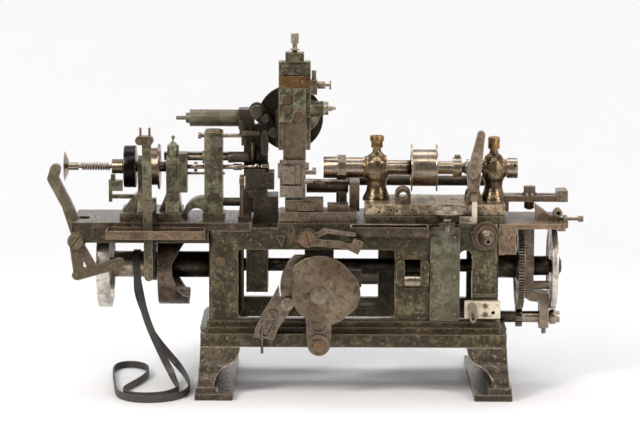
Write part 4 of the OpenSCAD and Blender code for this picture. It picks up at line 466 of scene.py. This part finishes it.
def make_spring():
    """The return spring, with the same curls as the solid and a rounder wire."""
    start, end, curls, wire, y, z = -419.0, -368.0, 11, 2.0, -10.0, 333.0
    rod_r, clear, inset, stroke = 3.3, 1.0, 0.3, 8
    coil_r, wire_r, lead = rod_r + wire / 2 + clear, 0.5 * wire * MM, 2 * wire
    steps, sides = 24 * curls, 12
    line = [mm(start + inset, y + coil_r, z), mm(start + wire, y + coil_r, z)]
    for i in range(steps + 1):
        t = i / steps
        a = 2 * math.pi * curls * t
        x = start + lead + (end - start - 2 * lead) * t
        line.append(mm(x, y + coil_r * math.cos(a), z + coil_r * math.sin(a)))
    line += [mm(end - wire, y + coil_r, z), mm(end - inset, y + coil_r, z)]
    bm = bmesh.new()
    rings = []
    angles = [2 * math.pi * k / sides for k in range(sides)]
    u = Vector((0, 0, 1))
    for p, t in zip(line, directions(line)):
        u = (u - u.dot(t) * t).normalized()
        w = t.cross(u)
        rings.append([bm.verts.new(p + wire_r * (math.cos(a) * u + math.sin(a) * w)) for a in angles])
    skin(bm, rings)
    ob = new_object("spring_wire", bm, M["spring_steel"], angle=60, body="pusher")
    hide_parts("return_spring")
    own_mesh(ob)


def make_cove():
    """Hollow moulding between the bed wall and its flange, as offsets out of the bed's outline."""
    half_len, half_dep, corner_r = 218.0, 80.0, 6.0
    low, top, sunk, inside = 94.0, 109.3, 0.5, -3.0
    rim_out, rim_top = 13.8, 2.0
    hollow_out, hollow_in, hollow_low, hollow_top, steps = 12.5, 0.7, low + 2.5, top - 1.0, 10
    profile = [(rim_out, low - sunk), (rim_out, low + rim_top)]
    for i in range(steps + 1):
        a = math.radians(90 * i / steps)
        out = hollow_out - (hollow_out - hollow_in) * math.sin(a)
        profile.append((out, hollow_low + (hollow_top - hollow_low) * (1 - math.cos(a))))
    profile += [(0.5, top), (inside, top), (inside, low - sunk)]
    bm = bmesh.new()
    rings = []
    for out, z in profile:
        ring = []
        for sx, sy, first in ((1, 1, 0), (-1, 1, 90), (-1, -1, 180), (1, -1, 270)):
            for k in range(7):
                x, y = circle_point(corner_r + out, first + 15 * k)
                place = mm(sx * (half_len - corner_r) + x, sy * (half_dep - corner_r) + y, z)
                ring.append(bm.verts.new(place))
        rings.append(ring)
    join_rings(bm, zip(rings, rings[1:] + rings[:1]))
    bmesh.ops.recalc_face_normals(bm, faces=bm.faces)
    new_object("bed_cove", bm, M["dark_casting"], angle=30)


make_belt()
make_spring()
make_cove()

# Finish of the CAD nodes, where it differs from their material slot
SPECIAL = {
    "foot_casting": ("left_foot", "right_foot"),
    "table_casting": ("left_table", "oil_gutter"),
    "head_casting": ("headstock",),
    "bone_casting": ("right_bracket",),
    "lever_casting": ("collet_lever",),
    "shelf_plate": ("right_shelf",),
    "hand_paint": ("hand_lever",),
    "shifter_paint": ("shifter_lever",),
    "wheel_steel": ("left_wheel", "right_wheel"),
    "turned_steel": ("spindle", "spindle_pulley", "front_shaft", "guide_rods", "push_rod",
                     "closing_sleeve", "pinion_shaft"),
    "thread_steel": ("threading_spindle",),
    "dark_steel": ("camshaft", "overhead_disc"),
    "smoked_steel": ("bell_cam",),
    "cam_steel": ("front_cam",),
    "rocker_steel": ("rocker_arm",),
    "brown_steel": ("crank_spindle", "cam_gear", "tool_slide", "tool_rest", "centre_lever", "feed_arm"),
}
finish = {s["node"]: s["material_slot"] for s in frame["record"]["subparts"]}
finish.update((node, name) for name, group in SPECIAL.items() for node in group)

# Rounded edges, wider on the heavy castings. The replaced nodes stay as they are.
HEAVY = ("left_foot", "right_foot", "main_casting", "left_table", "headstock")
REPLACED = ("drive_belt", "return_spring")
HEAVY_EDGE, EDGE, EDGE_ANGLE, WELD = 0.0012, 0.0006, 38, 0.00002
for name, ob in nodes.items():
    ob.data.materials.clear()
    ob.data.materials.append(M[finish[name]])
    if name in REPLACED:
        continue
    weld = ob.modifiers.new("weld", "WELD")
    weld.merge_threshold = WELD
    bev = ob.modifiers.new("edges", "BEVEL")
    bev.width = HEAVY_EDGE if name in HEAVY else EDGE
    bev.segments = 2
    bev.limit_method = "ANGLE"
    bev.angle_limit = math.radians(EDGE_ANGLE)
    bev.use_clamp_overlap = True


# Floor, backdrop and light
def one_sided(name, colour):
    """Matt surface that is clear from behind, so that a view from outside looks into the room."""
    m = bpy.data.materials.new(name)
    m.use_nodes = True
    nt = m.node_tree
    matt = nt.nodes["Principled BSDF"]
    put(nt, matt.inputs["Base Color"], colour)
    put(nt, matt.inputs["Roughness"], 0.6)
    geo = nt.nodes.new("ShaderNodeNewGeometry")
    clear = nt.nodes.new("ShaderNodeBsdfTransparent")
    both = nt.nodes.new("ShaderNodeMixShader")
    for index, socket in enumerate((geo.outputs["Backfacing"], matt.outputs[0], clear.outputs[0])):
        nt.links.new(socket, both.inputs[index])
    nt.links.new(both.outputs[0], nt.nodes["Material Output"].inputs[0])
    return m


def stage_room():
    """Round pale floor that curves up into a wall, darker in front of the machine."""
    centre_r, flat, reach, height, sides, steps = 0.3, 1.3, 2.3, 3.2, 72, 12
    curtain_y, curtain_z = -0.4, 0.02
    middle = Vector((0.0, 0.0, 1.2))
    bend = reach - flat
    profile = [(centre_r, 0.0), (flat, 0.0)]
    for i in range(1, steps + 1):
        a = math.radians(90 * i / steps)
        profile.append((flat + bend * math.sin(a), bend * (1 - math.cos(a))))
    profile.append((reach, height))
    angles = [2 * math.pi * k / sides for k in range(sides)]
    bm = bmesh.new()
    rings = [[bm.verts.new((r * math.cos(a), r * math.sin(a), z)) for a in angles] for r, z in profile]
    bm.faces.new(rings[0])
    join_rings(bm, zip(rings, rings[1:]))
    bm.normal_update()
    for f in bm.faces:
        f.smooth = True
        centre = f.calc_center_median()
        if f.normal.dot(centre - middle) > 0:
            f.normal_flip()
        f.material_index = 1 if centre.y < curtain_y and centre.z > curtain_z else 0
    mesh = bpy.data.meshes.new("floor")
    bm.to_mesh(mesh)
    bm.free()
    mesh.materials.append(one_sided("floor", (0.755, 0.757, 0.766)))
    mesh.materials.append(one_sided("curtain", (0.20, 0.20, 0.205)))
    ob = bpy.data.objects.new("floor", mesh)
    bpy.context.scene.collection.objects.link(ob)


WARM, WHITE = (1.0, 0.965, 0.92), (1.0, 1.0, 1.0)
MACHINE = (0, 0, 0.25)
# Place, aim, size, power and colour of the lights
LIGHTS = {
    "key": ((-1.5, -1.5, 1.5), MACHINE, (0.6, 1.0), 50, WARM),
    "fill": ((1.7, -1.4, 1.2), MACHINE, (0.45, 1.0), 24, WARM),
    "low": ((1.3, -1.3, 0.4), (0.1, 0, 0.2), (0.3, 0.5), 4, WARM),
    "strip": ((0.0, -1.1, 1.9), MACHINE, (2.4, 0.30), 14, WARM),
    "top": ((0.0, 0.6, 2.1), (0, 0.1, 0.2), (2.4, 0.9), 20, WHITE),
    "wall": ((0.0, 0.5, 1.7), (0, 1.8, 0.9), (3.2, 0.6), 3, WHITE),
}


def make_lights():
    for name, (place, target, size, power, colour) in LIGHTS.items():
        light = bpy.data.lights.new(name, "AREA")
        light.shape = "RECTANGLE"
        light.size, light.size_y = size
        light.energy = power
        light.color = colour
        ob = bpy.data.objects.new(name, light)
        bpy.context.scene.collection.objects.link(ob)
        ob.location = place
        ob.rotation_euler = (Vector(target) - Vector(place)).to_track_quat("-Z", "Y").to_euler()


def make_world():
    """Room light: dim level with the machine and below, and bright above it."""
    world = bpy.data.worlds.new("world")
    bpy.context.scene.world = world
    world.use_nodes = True
    nt = world.node_tree
    coord = nt.nodes.new("ShaderNodeTexCoord")
    sep = nt.nodes.new("ShaderNodeSeparateXYZ")
    nt.links.new(coord.outputs["Generated"], sep.inputs[0])
    height = times(nt, maths(nt, "ADD", sep.outputs["Z"], 1.0), 0.5)
    sky = ramp(nt, height, [(0.45, 0.05), (0.54, 0.08), (0.64, 0.40), (1.0, (0.80, 0.81, 0.84))])
    background = nt.nodes["Background"]
    put(nt, background.inputs["Color"], sky)
    put(nt, background.inputs["Strength"], 0.8)


stage_room()
make_lights()
make_world()
bpy.context.scene.view_settings.view_transform = "Standard"
